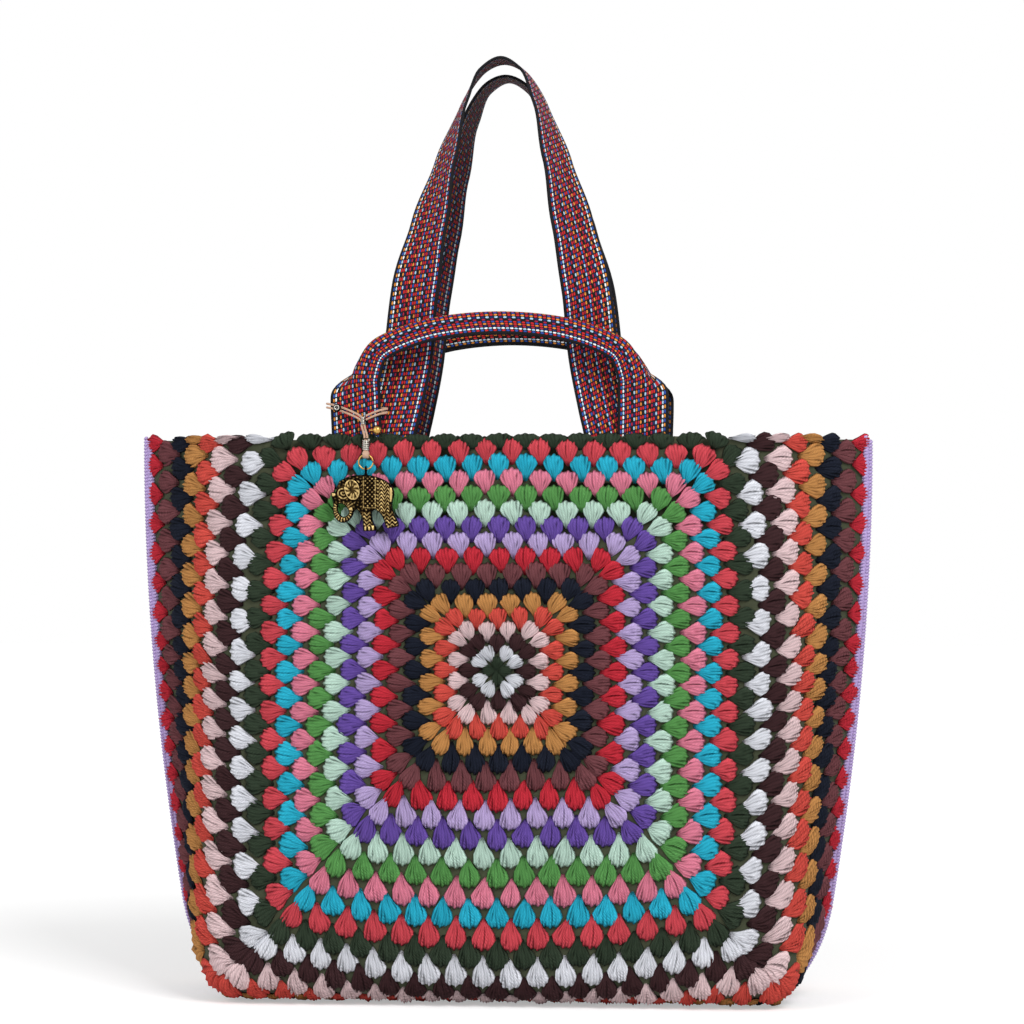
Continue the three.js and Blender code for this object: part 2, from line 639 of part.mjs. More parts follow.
function elephantGeometry() {
  const body = new THREE.ExtrudeGeometry(elephantOutline(), {
    depth: ELEPHANT_FLAT,
    curveSegments: 2,
    bevelEnabled: true,
    bevelThickness: ELEPHANT_BEVEL,
    bevelSize: ELEPHANT_BEVEL,
    bevelOffset: -ELEPHANT_BEVEL,
    bevelSegments: 2,
  }).translate(0, 0, -ELEPHANT_FLAT / 2);
  const face = ELEPHANT_FLAT / 2 + ELEPHANT_BEVEL;
  const ear = new THREE.SphereGeometry(1, 16, 10)
    .scale(5.2, 6.6, 2 * EAR_HEIGHT)
    .rotateZ(0.25)
    .translate(-9.6, 5.4, face - EAR_HEIGHT);
  const eyeletMiddle = EYELET_Z - ELEPHANT_Z;
  const foot = ELEPHANT_BACK_Z - 2 * ELEPHANT_BEVEL;
  const plate = new THREE.Shape();
  plate.absarc(0, eyeletMiddle, EYELET_HALF, 0, Math.PI, false);
  plate.lineTo(-EYELET_HALF, foot);
  plate.lineTo(EYELET_HALF, foot);
  plate.closePath();
  plate.holes.push(new THREE.Path().absarc(0, eyeletMiddle, EYELET_HOLE, 0, Math.PI * 2));
  const eyelet = new THREE.ExtrudeGeometry(plate, {
    depth: EYELET_WIDTH,
    bevelEnabled: false,
    curveSegments: 12,
  })
    .translate(0, 0, -EYELET_WIDTH / 2)
    .rotateY(Math.PI / 2);
  const whole = solidOf(body).add(solidOf(ear)).add(solidOf(eyelet));
  return geometryOf(whole).rotateX(Math.PI / 2);
}
const elephant = add("elephant_charm", elephantGeometry(), ANTIQUE_BRASS, charm);
elephant.position.set(CHARM_X, charmY, ELEPHANT_Z);

// Brass bell on a stem beside the dropping strands: a hollow ball with a slot below
function bellGeometry() {
  const ball = solidOf(new THREE.SphereGeometry(BELL_RADIUS, 18, 12));
  const hollow = solidOf(new THREE.SphereGeometry(BELL_RADIUS - BELL_WALL, 12, 8));
  const slotBox = new THREE.BoxGeometry(2 * BELL_RADIUS, BELL_SLOT, BELL_RADIUS);
  const slot = solidOf(slotBox.translate(0, 0, -BELL_RADIUS * 0.75));
  const stem = new THREE.CylinderGeometry(BELL_STEM_RADIUS, BELL_STEM_RADIUS, BELL_STEM_LENGTH, 10);
  const stemMiddle = BELL_WALL / 2 - BELL_RADIUS - BELL_STEM_LENGTH / 2;
  const stemSolid = solidOf(stem.rotateZ(Math.PI / 2).translate(stemMiddle, 0, 0));
  return geometryOf(ball.add(stemSolid).subtract(hollow).subtract(slot));
}
const bell = add("bell_bead", bellGeometry(), BRASS, charm);
const bellY = mix(wrapY, charmY, BELL_SHARE);
const bellZ = mix(WRAP_Z, COIL_Z + COIL_LENGTH, BELL_SHARE);
bell.position.set(CHARM_X + BELL_ASIDE, bellY, bellZ);

// Toggle bead on the loop's left turn: a drilled ball with flattened ends
function toggleGeometry() {
  const end = Math.asin(TOGGLE_BORE / TOGGLE_RADIUS) + 0.25;
  const reach = TOGGLE_RADIUS * Math.cos(end);
  const profile = [new THREE.Vector2(TOGGLE_BORE, -reach)];
  for (let i = 0; i <= 8; i++) {
    const angle = mix(end, Math.PI - end, i / 8);
    profile.push(new THREE.Vector2(TOGGLE_RADIUS * Math.sin(angle), -TOGGLE_RADIUS * Math.cos(angle)));
  }
  profile.push(new THREE.Vector2(TOGGLE_BORE, reach), profile[0].clone());
  return new THREE.LatheGeometry(profile, 16);
}
const toggle = add("toggle_bead", toggleGeometry(), DARK_METAL, charm);
const toggleY = loopFrontY - CORD_RADIUS - CORD_GAP - TOGGLE_RADIUS;
toggle.position.set(TOGGLE_IN - WEB_WIDTH / 2, toggleY, LOOP_RISE + TOGGLE_RISE);

export default bag;
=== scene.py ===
import math

import bmesh
import bpy
import numpy as np
from mathutils import Matrix, Vector, geometry, noise


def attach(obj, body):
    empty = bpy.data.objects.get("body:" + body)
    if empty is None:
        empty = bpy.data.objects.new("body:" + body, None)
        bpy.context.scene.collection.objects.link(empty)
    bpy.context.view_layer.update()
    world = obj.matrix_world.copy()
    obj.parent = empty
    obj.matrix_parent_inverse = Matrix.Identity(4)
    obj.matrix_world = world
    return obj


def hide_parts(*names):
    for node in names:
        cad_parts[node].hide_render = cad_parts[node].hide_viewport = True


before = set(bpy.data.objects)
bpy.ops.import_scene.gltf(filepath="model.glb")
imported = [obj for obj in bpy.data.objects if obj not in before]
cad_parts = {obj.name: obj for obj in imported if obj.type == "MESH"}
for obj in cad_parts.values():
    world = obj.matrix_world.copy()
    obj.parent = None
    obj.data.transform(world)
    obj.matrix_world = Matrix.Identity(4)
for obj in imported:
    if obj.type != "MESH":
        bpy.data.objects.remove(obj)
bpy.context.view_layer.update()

scene = bpy.context.scene
MM = 0.001


# Camera: level with the middle of the bag and its straps, a few degrees to the right of straight on, with
# a long lens as for a catalogue photograph.
CAMERA_AZIMUTH = math.radians(5)
CAMERA_DISTANCE = 2.3
CAMERA_HEIGHT = 340 * MM
CAMERA_ASIDE = 5 * MM
VIEW_WIDTH = 703 * MM  # across the picture at the front of the bag
BAG_FRONT = 55 * MM  # the front's distance from the bag's middle
FILM_WIDTH = 36  # in millimetres, as Blender takes it
camera_data = bpy.data.cameras.new("camera")
camera_data.sensor_width = FILM_WIDTH
camera_data.lens = FILM_WIDTH * (CAMERA_DISTANCE - BAG_FRONT) / VIEW_WIDTH
camera = bpy.data.objects.new("camera", camera_data)
scene.collection.objects.link(camera)
camera_right = Vector((math.cos(CAMERA_AZIMUTH), math.sin(CAMERA_AZIMUTH), 0))
camera_back = Vector((math.sin(CAMERA_AZIMUTH), -math.cos(CAMERA_AZIMUTH), 0))
camera.location = camera_back * CAMERA_DISTANCE + camera_right * CAMERA_ASIDE + Vector((0, 0, CAMERA_HEIGHT))
camera.rotation_euler = (math.pi / 2, 0, CAMERA_AZIMUTH)
scene.camera = camera


# Charm cord: two strands of round tan suede cord, knotted inside the wire wrap. Each rises from the coil
# bead through the wrap and goes once round the left leg of the front handle.
CORD_RADIUS = 0.75
HANDLE_LEG = Vector((-99, -45.076, 393))  # the middle of the leg on the rim, in millimetres
WRAP_AT = Vector((5, -4.45, 7.05))  # from there, like the other places along the cord
COIL_TOP = Vector((8, -11.9, -2.2))
LOOP_HEIGHT = 14
STRAND_ASIDE = 0.925  # each strand's middle beside the pair's


def smooth_line(points, count):
    """Points along a centripetal Catmull-Rom curve through the given ones."""
    points = [Vector(p) for p in points]
    ends = [2 * points[0] - points[1], *points, 2 * points[-1] - points[-2]]
    line = []
    for step in range(count + 1):
        place = step / count * (len(points) - 1)
        i = min(int(place), len(points) - 2)
        p = ends[i:i + 4]
        k = [0.0]
        for a, b in zip(p, p[1:]):
            k.append(k[-1] + max((b - a).length ** 0.5, 1e-6))
        t = k[1] + (place - i) * (k[2] - k[1])
        a = [p[j].lerp(p[j + 1], (t - k[j]) / (k[j + 1] - k[j])) for j in range(3)]
        b = [a[j].lerp(a[j + 1], (t - k[j]) / (k[j + 2] - k[j])) for j in range(2)]
        line.append(b[0].lerp(b[1], (t - k[1]) / (k[2] - k[1])))
    return line


def colour(code):
    """A colour written as on a screen, as the linear values that a shader takes."""
    parts = [int(code[i:i + 2], 16) / 255 for i in (0, 2, 4)]
    return tuple(c / 12.92 if c <= 0.04045 else ((c + 0.055) / 1.055) ** 2.4 for c in parts) + (1.0,)


def node(tree, kind, inputs=(), **settings):
    """A new node in a tree. A socket among its inputs is joined, None is left alone, and a value is set."""
    made = tree.nodes.new(kind)
    for key, value in settings.items():
        setattr(made, key, value)
    for key, value in inputs.items() if isinstance(inputs, dict) else enumerate(inputs):
        if isinstance(value, bpy.types.NodeSocket):
            tree.links.new(value, made.inputs[key])
        elif value is not None:
            made.inputs[key].default_value = value
    return made


def maths(tree, operation, *inputs):
    return node(tree, "ShaderNodeMath", inputs, operation=operation).outputs[0]


def blend(tree, share, first, second, kind="MIX"):
    made = node(tree, "ShaderNodeMix", {0: share, 6: first, 7: second}, data_type="RGBA", blend_type=kind)
    return made.outputs[2]


def ramp(tree, share, stops, interpolation="LINEAR"):
    made = node(tree, "ShaderNodeValToRGB", (share,))
    made.color_ramp.interpolation = interpolation
    elements = made.color_ramp.elements
    while len(elements) < len(stops):
        elements.new(1.0)
    for element, (place, value) in zip(elements, stops):
        element.position = place
        element.color = value
    return made.outputs[0]


def finish(name, **constants):
    """A new material, its node tree and its shader, with the shader's constant values set."""
    material = bpy.data.materials.new(name)
    material.use_nodes = True
    tree = material.node_tree
    shader = tree.nodes["Principled BSDF"]
    for key, value in constants.items():
        shader.inputs[key.replace("_", " ")].default_value = value
    return material, tree, shader


def bump(tree, shader, height, strength, distance):
    made = node(tree, "ShaderNodeBump", {"Height": height, "Strength": strength, "Distance": distance})
    tree.links.new(made.outputs[0], shader.inputs["Normal"])


def suede_cord():
    material, tree, shader = finish("suede_cord", Roughness=0.85, Sheen_Weight=0.3, Sheen_Roughness=0.4)
    place = node(tree, "ShaderNodeTexCoord").outputs["Object"]
    grain = node(tree, "ShaderNodeTexNoise", {"Vector": place, "Scale": 900, "Detail": 4}).outputs[0]
    wear = node(tree, "ShaderNodeTexNoise", {"Vector": place, "Scale": 120, "Detail": 2}).outputs[0]
    tone = blend(tree, grain, colour("8d6650"), colour("cfa58a"))
    tree.links.new(blend(tree, maths(tree, "MULTIPLY", wear, 0.5), tone, colour("e3c3ab")), shader.inputs[0])
    bump(tree, shader, grain, 0.5, 0.2 * MM)
    return material


def cord_route(side, drop):
    """One strand's way: up through the wrap and once round the handle leg."""
    z = LOOP_HEIGHT - drop
    rise = [(0, 0, 0), (0, 0.05, 0.1), (0.3, 0.37, 0.4), (0.8, 0.89, 0.75), (1, 1, 1)]
    reach = WRAP_AT - COIL_TOP
    beside = Vector((side * STRAND_ASIDE, 0, 0))
    up = [COIL_TOP + Vector([reach[k] * share[k] for k in range(3)]) + beside for share in rise]
    loop = [
        (5 - side * 0.2, -4.4, z - 3.4), (2.95, -4.45, z - 0.6), (-4, -4.1, z + 3), (-14, -4.1, z + 6.6),
        (-20.6, -0.9, z + 8), (-17.6, 2.2, z + 7.6), (1, 2.2, z + 6), (17.6, 2.2, z + 5),
        (21.2, -0.8, z + 4.4), (17, -3.8, z + 3.4), (11, -4.1, z + 1.2), (7.05, -4.45, z - 0.6),
    ]
    return smooth_line([(HANDLE_LEG + Vector(p)) * MM for p in up + loop], 120)


def add(name, data, *materials):
    made = bpy.data.objects.new(name, data)
    scene.collection.objects.link(made)
    for material in materials:
        data.materials.append(material)
    return made


SUEDE = suede_cord()
for strand, side, drop in (("upper", -1, 0), ("lower", 1, 2.6)):
    line = cord_route(side, drop)
    curve = bpy.data.curves.new(f"charm_cord_{strand}", "CURVE")
    curve.dimensions = "3D"
    curve.bevel_depth = CORD_RADIUS * MM
    curve.bevel_resolution = 3
    curve.use_fill_caps = True
    spline = curve.splines.new("POLY")
    spline.points.add(len(line) - 1)
    spline.points.foreach_set("co", [v for p in line for v in (*p, 1)])
    cord = add(f"charm_cord_{strand}", curve, SUEDE)
    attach(cord, "bag")
    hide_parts(f"cord_loop_{strand}", f"cord_drop_{'left' if side < 0 else 'right'}")
    length = sum((b - a).length for a, b in zip(line, line[1:]))


# Crochet panels: two granny squares in thick acrylic yarn, worked outwards from the middle in rounds of
# three-stitch clusters, sixteen yarns in turn. Each square is one half of the bag, down to the middle of the
# base, and the fabric hangs in a flat front with soft bends into the sides.
RIM = 393.0
CROCHET = 6.0
HALF_GIRTH = 265.0
WALL_LENGTH = 369.0  # cloth from the rim to where the wall rolls under
ROLL_LENGTH = 28.3
BASE_LENGTH = 46.3  # from there to the middle line of the base
MIDDLE_DROP = 162.4  # the square's middle, below the rim
BEND_LENGTH = 40  # cloth in the soft bend between the front and a side
BEND_DEGREES = 34, 88  # of that bend, at the rim and at the foot
BEND_OPENING = 1.75  # how late it opens on the way down
FLAT_HALF = 186, 165  # half of the flat front, at the foot and at the rim
BASE_SPINE = 160  # half of the line that the base is drawn in to
ROLL_HEIGHT = 18, 62  # of the roll under the wall, at the front's middle and at the side edge
ROLL_INSET = 18, 34  # the same roll's way inward


def mix(a, b, share):
    return a + (b - a) * share


def ease(value, start, end):
    share = np.clip((value - start) / (end - start), 0, 1)
    return share * share * (3 - 2 * share)


def section(z, along):
    """The inner face at a height: across and depth, by the length along the cloth from the front's middle."""
    share = np.clip(z / RIM, 0, 1)
    turn = np.radians(mix(*BEND_DEGREES, (1 - share) ** BEND_OPENING))
    flat = mix(*FLAT_HALF, share)
    radius = BEND_LENGTH / turn
    half_depth = radius * (1 - np.cos(turn)) + (HALF_GIRTH - flat - BEND_LENGTH) * np.sin(turn)
    bend = np.clip((along - flat) / BEND_LENGTH, 0, 1) * turn
    past = np.maximum(0, along - flat - BEND_LENGTH)
    x = np.minimum(along, flat) + radius * np.sin(bend) + past * np.cos(turn)
    return x, radius * (1 - np.cos(bend)) + past * np.sin(turn) - half_depth


def form(girth, below):
    """The front half's inner face in millimetres, by the length round the cloth and below the rim."""
    round_it = np.abs(girth)
    along = HALF_GIRTH - np.abs(HALF_GIRTH - round_it)
    row = np.where(below < WALL_LENGTH, below / WALL_LENGTH, 1 + (below - WALL_LENGTH) / ROLL_LENGTH)
    row = np.where(row > 2, 2 + (below - WALL_LENGTH - ROLL_LENGTH) / BASE_LENGTH, row)
    held = np.clip(row, 0, 3)
    side = ease(along, BASE_SPINE, HALF_GIRTH)
    height, inset = mix(*ROLL_HEIGHT, side), mix(*ROLL_INSET, side)
    roll = np.clip(held - 1, 0, 1) * math.pi / 2
    z = np.where(held <= 1, mix(RIM, CROCHET + height, held), CROCHET + height - height * np.sin(roll))
    x, y = section(z, along)
    spine = np.minimum(x, BASE_SPINE)
    reach = np.maximum(np.hypot(x - spine, y), 1e-6)
    inset = np.where(held <= 2, inset * (1 - np.cos(roll)), mix(inset, reach, held - 2)) / reach
    x, y = mix(x, spine, inset), mix(y, 0, inset)
    y = np.where(round_it > HALF_GIRTH, -y, y) + np.maximum(0, row - 3) * BASE_LENGTH
    return np.stack([np.sign(girth) * x, y, z + np.maximum(0, -below)], axis=-1)


def form_out(girth, below, step=3.0):
    """The direction out of that face."""
    across = form(girth + step, below) - form(girth - step, below)
    up = form(girth, below - step) - form(girth, below + step)
    out = np.cross(across, up)
    return out / np.maximum(np.linalg.norm(out, axis=-1, keepdims=True), 1e-9)


FORM_WIDTH, FORM_TOP, FORM_FOOT = 560.0, -20.0, 460.0


def form_sheet():
    """A sheet on the form, with the flat cloth as its UV map, for the stitches to be laid on."""
    columns, rows = 113, 97
    girth, below = np.meshgrid(
        np.linspace(-FORM_WIDTH / 2, FORM_WIDTH / 2, columns), np.linspace(FORM_TOP, FORM_FOOT, rows)
    )
    mesh = bpy.data.meshes.new("bag_form")
    points = form(girth, below).reshape(-1, 3) * MM
    corner = np.arange(rows * columns).reshape(rows, columns)
    faces = np.stack([corner[1:, :-1], corner[1:, 1:], corner[:-1, 1:], corner[:-1, :-1]], axis=-1)
    faces = faces.reshape(-1, 4)
    mesh.from_pydata(points.tolist(), [], faces.tolist())
    out = mesh.attributes.new("out", "FLOAT_VECTOR", "POINT")
    out.data.foreach_set("vector", form_out(girth, below).reshape(-1))
    flat = np.stack([girth / FORM_WIDTH + 0.5, 1 - (below - FORM_TOP) / (FORM_FOOT - FORM_TOP)], axis=-1)
    cloth = mesh.uv_layers.new(name="cloth")
    cloth.data.foreach_set("uv", flat.reshape(-1, 2)[faces.reshape(-1)].reshape(-1))
    return add("bag_form", mesh)


def along_line(line):
    """The direction and the length so far at each point of a line."""
    way = np.gradient(line, axis=0)
    way /= np.linalg.norm(way, axis=1, keepdims=True)
    return way, np.concatenate([[0], np.cumsum(np.linalg.norm(np.diff(line, axis=0), axis=1))])


def tube_faces(rings, around, closed=False):
    """Faces between rings that follow one another, and from the last to the first of a closed run."""
    faces = []
    for k in range(rings if closed else rings - 1):
        a, b = k * around, (k + 1) % rings * around
        for j in range(around):
            n = (j + 1) % around
            faces.append([a + j, a + n, b + n, b + j])
    return faces


def strand(name, path, radius, sides, count):
    """A round strand along a path in millimetres. Its UV map is round and along the strand."""
    line = np.array(smooth_line(path, count))
    tangent, along = along_line(line)
    side = np.array([0.0, 0.0, 1.0] if abs(tangent[0][2]) < 0.9 else [1.0, 0.0, 0.0])
    points = []
    for at, way in zip(line, tangent):
        side = side - way * side.dot(way)
        side /= np.linalg.norm(side)
        up = np.cross(way, side)
        for j in range(sides):
            turn = 2 * math.pi * j / sides
            points.append(at + radius * (math.cos(turn) * side + math.sin(turn) * up))
    faces = tube_faces(count + 1, sides)
    faces += [list(range(sides))[::-1], list(range(count * sides, (count + 1) * sides))]
    wrapped = [
        (i / sides, along[k + end]) for k in range(count) for j in range(sides)
        for i, end in ((j, 0), (j + 1, 0), (j + 1, 1), (j, 1))
    ]
    wrapped += [(0.5, 0)] * (2 * sides)
    mesh = bpy.data.meshes.new(name)
    mesh.from_pydata((np.array(points) * MM).tolist(), [], faces)
    mesh.uv_layers.new(name="UVMap").data.foreach_set("uv", np.array(wrapped).reshape(-1))
    mesh.shade_smooth()
    return mesh


CLUSTER_RIBS = 7  # strands that show side by side in one cluster
CLUSTER_ROWS = (  # along the cluster from its foot, half its width, its height and the depth between strands
    (-11.6, 1.0, 0.3, 0.0), (-6.8, 3.5, 3.3, 1.0), (-1.4, 6.3, 4.6, 1.6), (3.0, 7.7, 4.9, 1.7),
    (6.2, 7.4, 3.9, 1.4), (8.0, 6.2, 0.3, 0.0),
)
CLUSTER_EDGE = 0.3  # height of its edge


def cluster(name, seed):
    """Three tall stitches that fan out from the gap of the round before: a plump shell of loose strands."""
    rng = np.random.default_rng(seed)
    columns = 2 * CLUSTER_RIBS + 1
    u = np.linspace(-1, 1, columns)
    valley = np.arange(columns) % 2 == 0
    phase, proud = rng.uniform(0, 2 * math.pi, columns), rng.normal(0, 0.3, columns)
    points, groove, along = [], [], []
    for y, half, crown, depth in CLUSTER_ROWS:
        lobes = np.clip((y + 4) / 12, 0, 1) * (0.7 * np.cos(3 * math.pi * u) - 2.4 * u * u)
        lobes = lobes + rng.normal(0, 0.2, columns)
        x = half * (u + 0.055 * np.sin(0.4 * y + phase) * (depth > 0) + 0.06 * math.sin(0.3 * y + seed))
        slack = np.where(rng.random(columns) < 0.22, 1.7, 0.75 + 0.3 * rng.random(columns))
        z = mix(crown, CLUSTER_EDGE, np.abs(u) ** 3) + np.where(valley, -depth * slack, proud)
        z = np.where((np.abs(u) < 1) & (depth > 0), np.maximum(z, CLUSTER_EDGE), CLUSTER_EDGE)
        points += np.stack([x, y + lobes, z], axis=-1).tolist()
        # How much painted shade each point gets: the valleys between strands, more where a strand lies slack,
        # and the whole foot and end rows of the cluster.
        groove += np.where(valley, np.minimum(1, 0.6 * slack), 0.0 if depth else 0.8).tolist()
        along += [y] * columns
    corner = np.arange(len(points)).reshape(-1, columns)
    faces = np.stack([corner[:-1, :-1], corner[:-1, 1:], corner[1:, 1:], corner[1:, :-1]], axis=-1)
    under = [*corner[1:, 0], *corner[-1, 1:], *corner[-2::-1, -1], *corner[0, -2::-1]]
    faces = faces.reshape(-1, 4).tolist() + [[int(k) for k in under]]
    mesh = bpy.data.meshes.new(name)
    mesh.from_pydata([Vector(at) * MM for at in points], [], faces)
    layer = mesh.uv_layers.new(name="UVMap")
    layer.data.foreach_set("uv", [v for f in faces for k in f for v in (k % columns / 2, along[k])])
    mesh.attributes.new("groove", "FLOAT", "POINT").data.foreach_set("value", groove)
    mesh.shade_smooth()
    return add(name, mesh)


ROUND_STEP = 11.05  # from one whole round to the next
OPEN_ROUND_STEP = 11.6


def round_radius(n):
    """A round's distance from the square's middle. The first eight rounds widen to the even step."""
    if n <= 8:
        return 20.3 + 8.2 * (n - 3) + 0.32 * (n - 3) ** 2
    return 69.3 + ROUND_STEP * (n - 8) if n <= 20 else 201.9 + OPEN_ROUND_STEP * (n - 20)


COLUMN_PULL = 0.05  # the columns lean in above and below the middle
ROW_BOW = 0.045, 0.085  # the rows bow at the corners, above and below the middle
ROW_STRETCH = -0.03, 0.155  # of the rows' spacing, above and below the middle
WALL_ROWS = 202  # the rows lie closer under the roll, from this length below the middle


def laid(p, q):
    """Where a place of the flat square lies on the panel: its girth and its length below the rim."""
    pull = COLUMN_PULL * (q / 160) ** 2 * (1 - ease(abs(p), 165, HALF_GIRTH))
    q = q * (1 - ROW_BOW[0 if q > 0 else 1] * (min(abs(p), 165) / 160) ** 2)
    drop = -q
    if q > 0:
        below = drop * (1 + ROW_STRETCH[0])
    elif drop <= WALL_ROWS:
        below = drop * (1 + ROW_STRETCH[1] * min(1, drop / 157.7))
    else:
        below = 233.3 + 0.85 * (drop - WALL_ROWS)
    return np.array([p * (1 - pull), MIDDLE_DROP + below])


def wander(at, seed):
    """Rows of hand crochet are never quite straight."""
    place = Vector((at[0] / 60, at[1] / 60, seed))
    return at + np.array([1.8 * noise.noise(place), 1.8 * noise.noise(place + Vector((0, 0, 50)))])


ROUNDS = 25
FULL_ROUNDS = 17  # the last whole square, whose upper side is the rim
OPEN_STRETCH = 1.2, 1.03  # of the open rounds' sides, above and below the square's middle
EDGE_LAP = 1.8  # the last round's clusters lie over the seam
HEM_DROP, HEM_WIDE, HEM_TALL = 3.4, 1.15, 0.6  # the short clusters of the rim's own row
RIM_LAP, BAR_LAP = -3, -9  # middles above the rim by this much: still a cluster, only its lower edge
RIM_DROP = 5.6  # of the highest clusters, which are squeezed against the rim
RIM_SQUEEZE = (RIM_DROP, 0.72), (2.4, 0.36)  # drop and share of the width, of clusters and of edges
FOOT_DROP = 446  # no clusters past the middle of the base
CORNER_GIRTH, CORNER_DROP = 196, 414  # or in its corners
CORNER_FAN = math.radians(27)  # the two clusters of a corner lean together
CLUSTER_PITCH = 17.8  # room for one cluster at its own width
TALLEST = 1.12


def layout(seed):
    """Every cluster of a panel: round, girth, length below the rim, turn, width and length."""
    rng = np.random.default_rng(seed)
    found = []
    for n in range(1, ROUNDS + 1):
        radius = round_radius(n) + (EDGE_LAP if n == ROUNDS else 0)
        pitch = 2 * radius / n
        gap = round_radius(n + 1) - radius
        for side in range(4):
            way = np.array([math.cos(side * math.pi / 2), math.sin(side * math.pi / 2)])
            out = np.array([-way[1], way[0]])
            if side == 0 and n > FULL_ROUNDS:
                continue
            for k in range(n):
                t = (k - (n - 1) / 2) * pitch
                stretch = 1.0
                if n > FULL_ROUNDS and side in (1, 3):
                    stretch = OPEN_STRETCH[0 if t * way[1] > 0 else 1]
                at = way * t * stretch + out * radius
                if at[1] < 0.2 * pitch - radius and side in (1, 3):
                    continue
                here = laid(*at)
                hem = side == 0 and n == FULL_ROUNDS
                if here[1] < BAR_LAP and not hem:
                    continue
                if here[1] > FOOT_DROP or (abs(here[0]) > CORNER_GIRTH and here[1] > CORNER_DROP):
                    continue
                ahead = laid(*(at + out)) - here
                aside = laid(*(at + way)) - here
                turn = math.atan2(-ahead[0], -ahead[1])
                if n > 1 and k in (0, n - 1):
                    turn += CORNER_FAN * (1 if k == 0 else -1)
                wide = pitch * stretch / CLUSTER_PITCH * np.hypot(*aside)
                tall = min(TALLEST, gap / ROUND_STEP * np.hypot(*ahead))
                turn += rng.normal(0, 0.07)
                if hem:
                    here, wide, tall = np.array([here[0], HEM_DROP]), HEM_WIDE * wide, HEM_TALL
                elif here[1] < RIM_DROP + 1.5:
                    drop, squeeze = RIM_SQUEEZE[1 if here[1] < RIM_LAP else 0]
                    here, wide = np.array([here[0], drop]), squeeze * wide
                else:
                    here = wander(here, seed)
                wide, tall = wide * rng.normal(1, 0.04), tall * rng.normal(1, 0.04)
                found.append((n, here[0], here[1], turn, wide, tall))
    return found


def node_group(name, output, inputs):
    """A new Geometry Nodes tree, its inputs' identifiers by name, and the sockets that hand them on."""
    tree = bpy.data.node_groups.new(name, "GeometryNodeTree")
    sockets = {}
    for label, kind in inputs:
        made = tree.interface.new_socket(label, in_out="INPUT", socket_type=f"NodeSocket{kind}")
        sockets[label] = made.identifier
    tree.interface.new_socket(output, in_out="OUTPUT", socket_type="NodeSocketGeometry")
    return tree, sockets, node(tree, "NodeGroupInput").outputs


def group_end(tree, shape, material):
    """Smooth shading, the material and the way out of a Geometry Nodes tree."""
    soft = node(tree, "GeometryNodeSetShadeSmooth", (shape,)).outputs[0]
    dyed = node(tree, "GeometryNodeSetMaterial", {"Geometry": soft, "Material": material}).outputs[0]
    node(tree, "NodeGroupOutput", (dyed,))


def crochet_tree():
    """Clusters on the laid-out points, bent onto the form."""
    tree, sockets, given = node_group("crochet_round", "Crochet", (
        ("Places", "Geometry"), ("Form", "Object"), ("Cluster 1", "Object"), ("Cluster 2", "Object"),
        ("Cluster 3", "Object"), ("Cluster 4", "Object"), ("Yarn", "Material"), ("Seed", "Int"),
        ("Half turn", "Float"),
    ))

    def kept(name, kind="FLOAT"):
        return node(tree, "GeometryNodeInputNamedAttribute", (name,), data_type=kind).outputs[0]

    def random(low, high):
        made = node(tree, "FunctionNodeRandomValue", data_type="FLOAT")
        made.inputs[2].default_value = low
        made.inputs[3].default_value = high
        tree.links.new(given["Seed"], made.inputs["Seed"])
        return made.outputs[1]

    kinds = node(tree, "GeometryNodeJoinGeometry")
    for k in range(1, 5):
        shape = node(tree, "GeometryNodeObjectInfo", (given[f"Cluster {k}"],)).outputs["Geometry"]
        one = node(tree, "GeometryNodeGeometryToInstance", (shape,)).outputs[0]
        tree.links.new(one, kinds.inputs[0])
    tilt = random(-0.1, 0.1), random(-0.12, 0.12)
    turn = node(tree, "ShaderNodeCombineXYZ", (*tilt, kept("turn"))).outputs[0]
    size = node(tree, "ShaderNodeCombineXYZ", (kept("wide"), kept("tall"), random(0.88, 1.04))).outputs[0]
    placed = node(tree, "GeometryNodeInstanceOnPoints", {
        "Points": given["Places"], "Instance": kinds.outputs[0], "Pick Instance": True,
        "Instance Index": kept("kind", "INT"), "Rotation": turn, "Scale": size,
    }).outputs[0]
    shaded = node(tree, "GeometryNodeStoreNamedAttribute", {
        "Geometry": placed, "Name": "shade", "Value": random(0.0, 1.0),
    }, data_type="FLOAT", domain="INSTANCE").outputs[0]
    real = node(tree, "GeometryNodeRealizeInstances", (shaded,)).outputs[0]
    flat = node(tree, "ShaderNodeSeparateXYZ", (node(tree, "GeometryNodeInputPosition").outputs[0],)).outputs
    tall = (FORM_FOOT - FORM_TOP) * MM
    u = maths(tree, "MULTIPLY_ADD", flat[0], 1 / (FORM_WIDTH * MM), 0.5)
    v = maths(tree, "MULTIPLY_ADD", flat[1], 1 / tall, 1 + FORM_TOP * MM / tall)
    cloth = node(tree, "ShaderNodeCombineXYZ", (u, v, 0.0)).outputs[0]
    sheet = node(tree, "GeometryNodeObjectInfo", (given["Form"],)).outputs["Geometry"]
    flat_map = kept("cloth", "FLOAT_VECTOR")

    def on_form(value):
        return node(tree, "GeometryNodeSampleUVSurface", (sheet, value, flat_map, cloth),
                    data_type="FLOAT_VECTOR").outputs[0]

    foot = on_form(node(tree, "GeometryNodeInputPosition").outputs[0])
    out = on_form(kept("out", "FLOAT_VECTOR"))
    lift = node(tree, "ShaderNodeVectorMath", {0: out, 3: flat[2]}, operation="SCALE").outputs[0]
    lifted = node(tree, "ShaderNodeVectorMath", (foot, lift), operation="ADD").outputs[0]
    bent = node(tree, "GeometryNodeSetPosition", {"Geometry": real, "Position": lifted}).outputs[0]
    half = node(tree, "ShaderNodeCombineXYZ", (0.0, 0.0, given["Half turn"])).outputs[0]
    turned = node(tree, "GeometryNodeTransform", {"Geometry": bent, "Rotation": half}).outputs[0]
    group_end(tree, turned, given["Yarn"])
    return tree, sockets


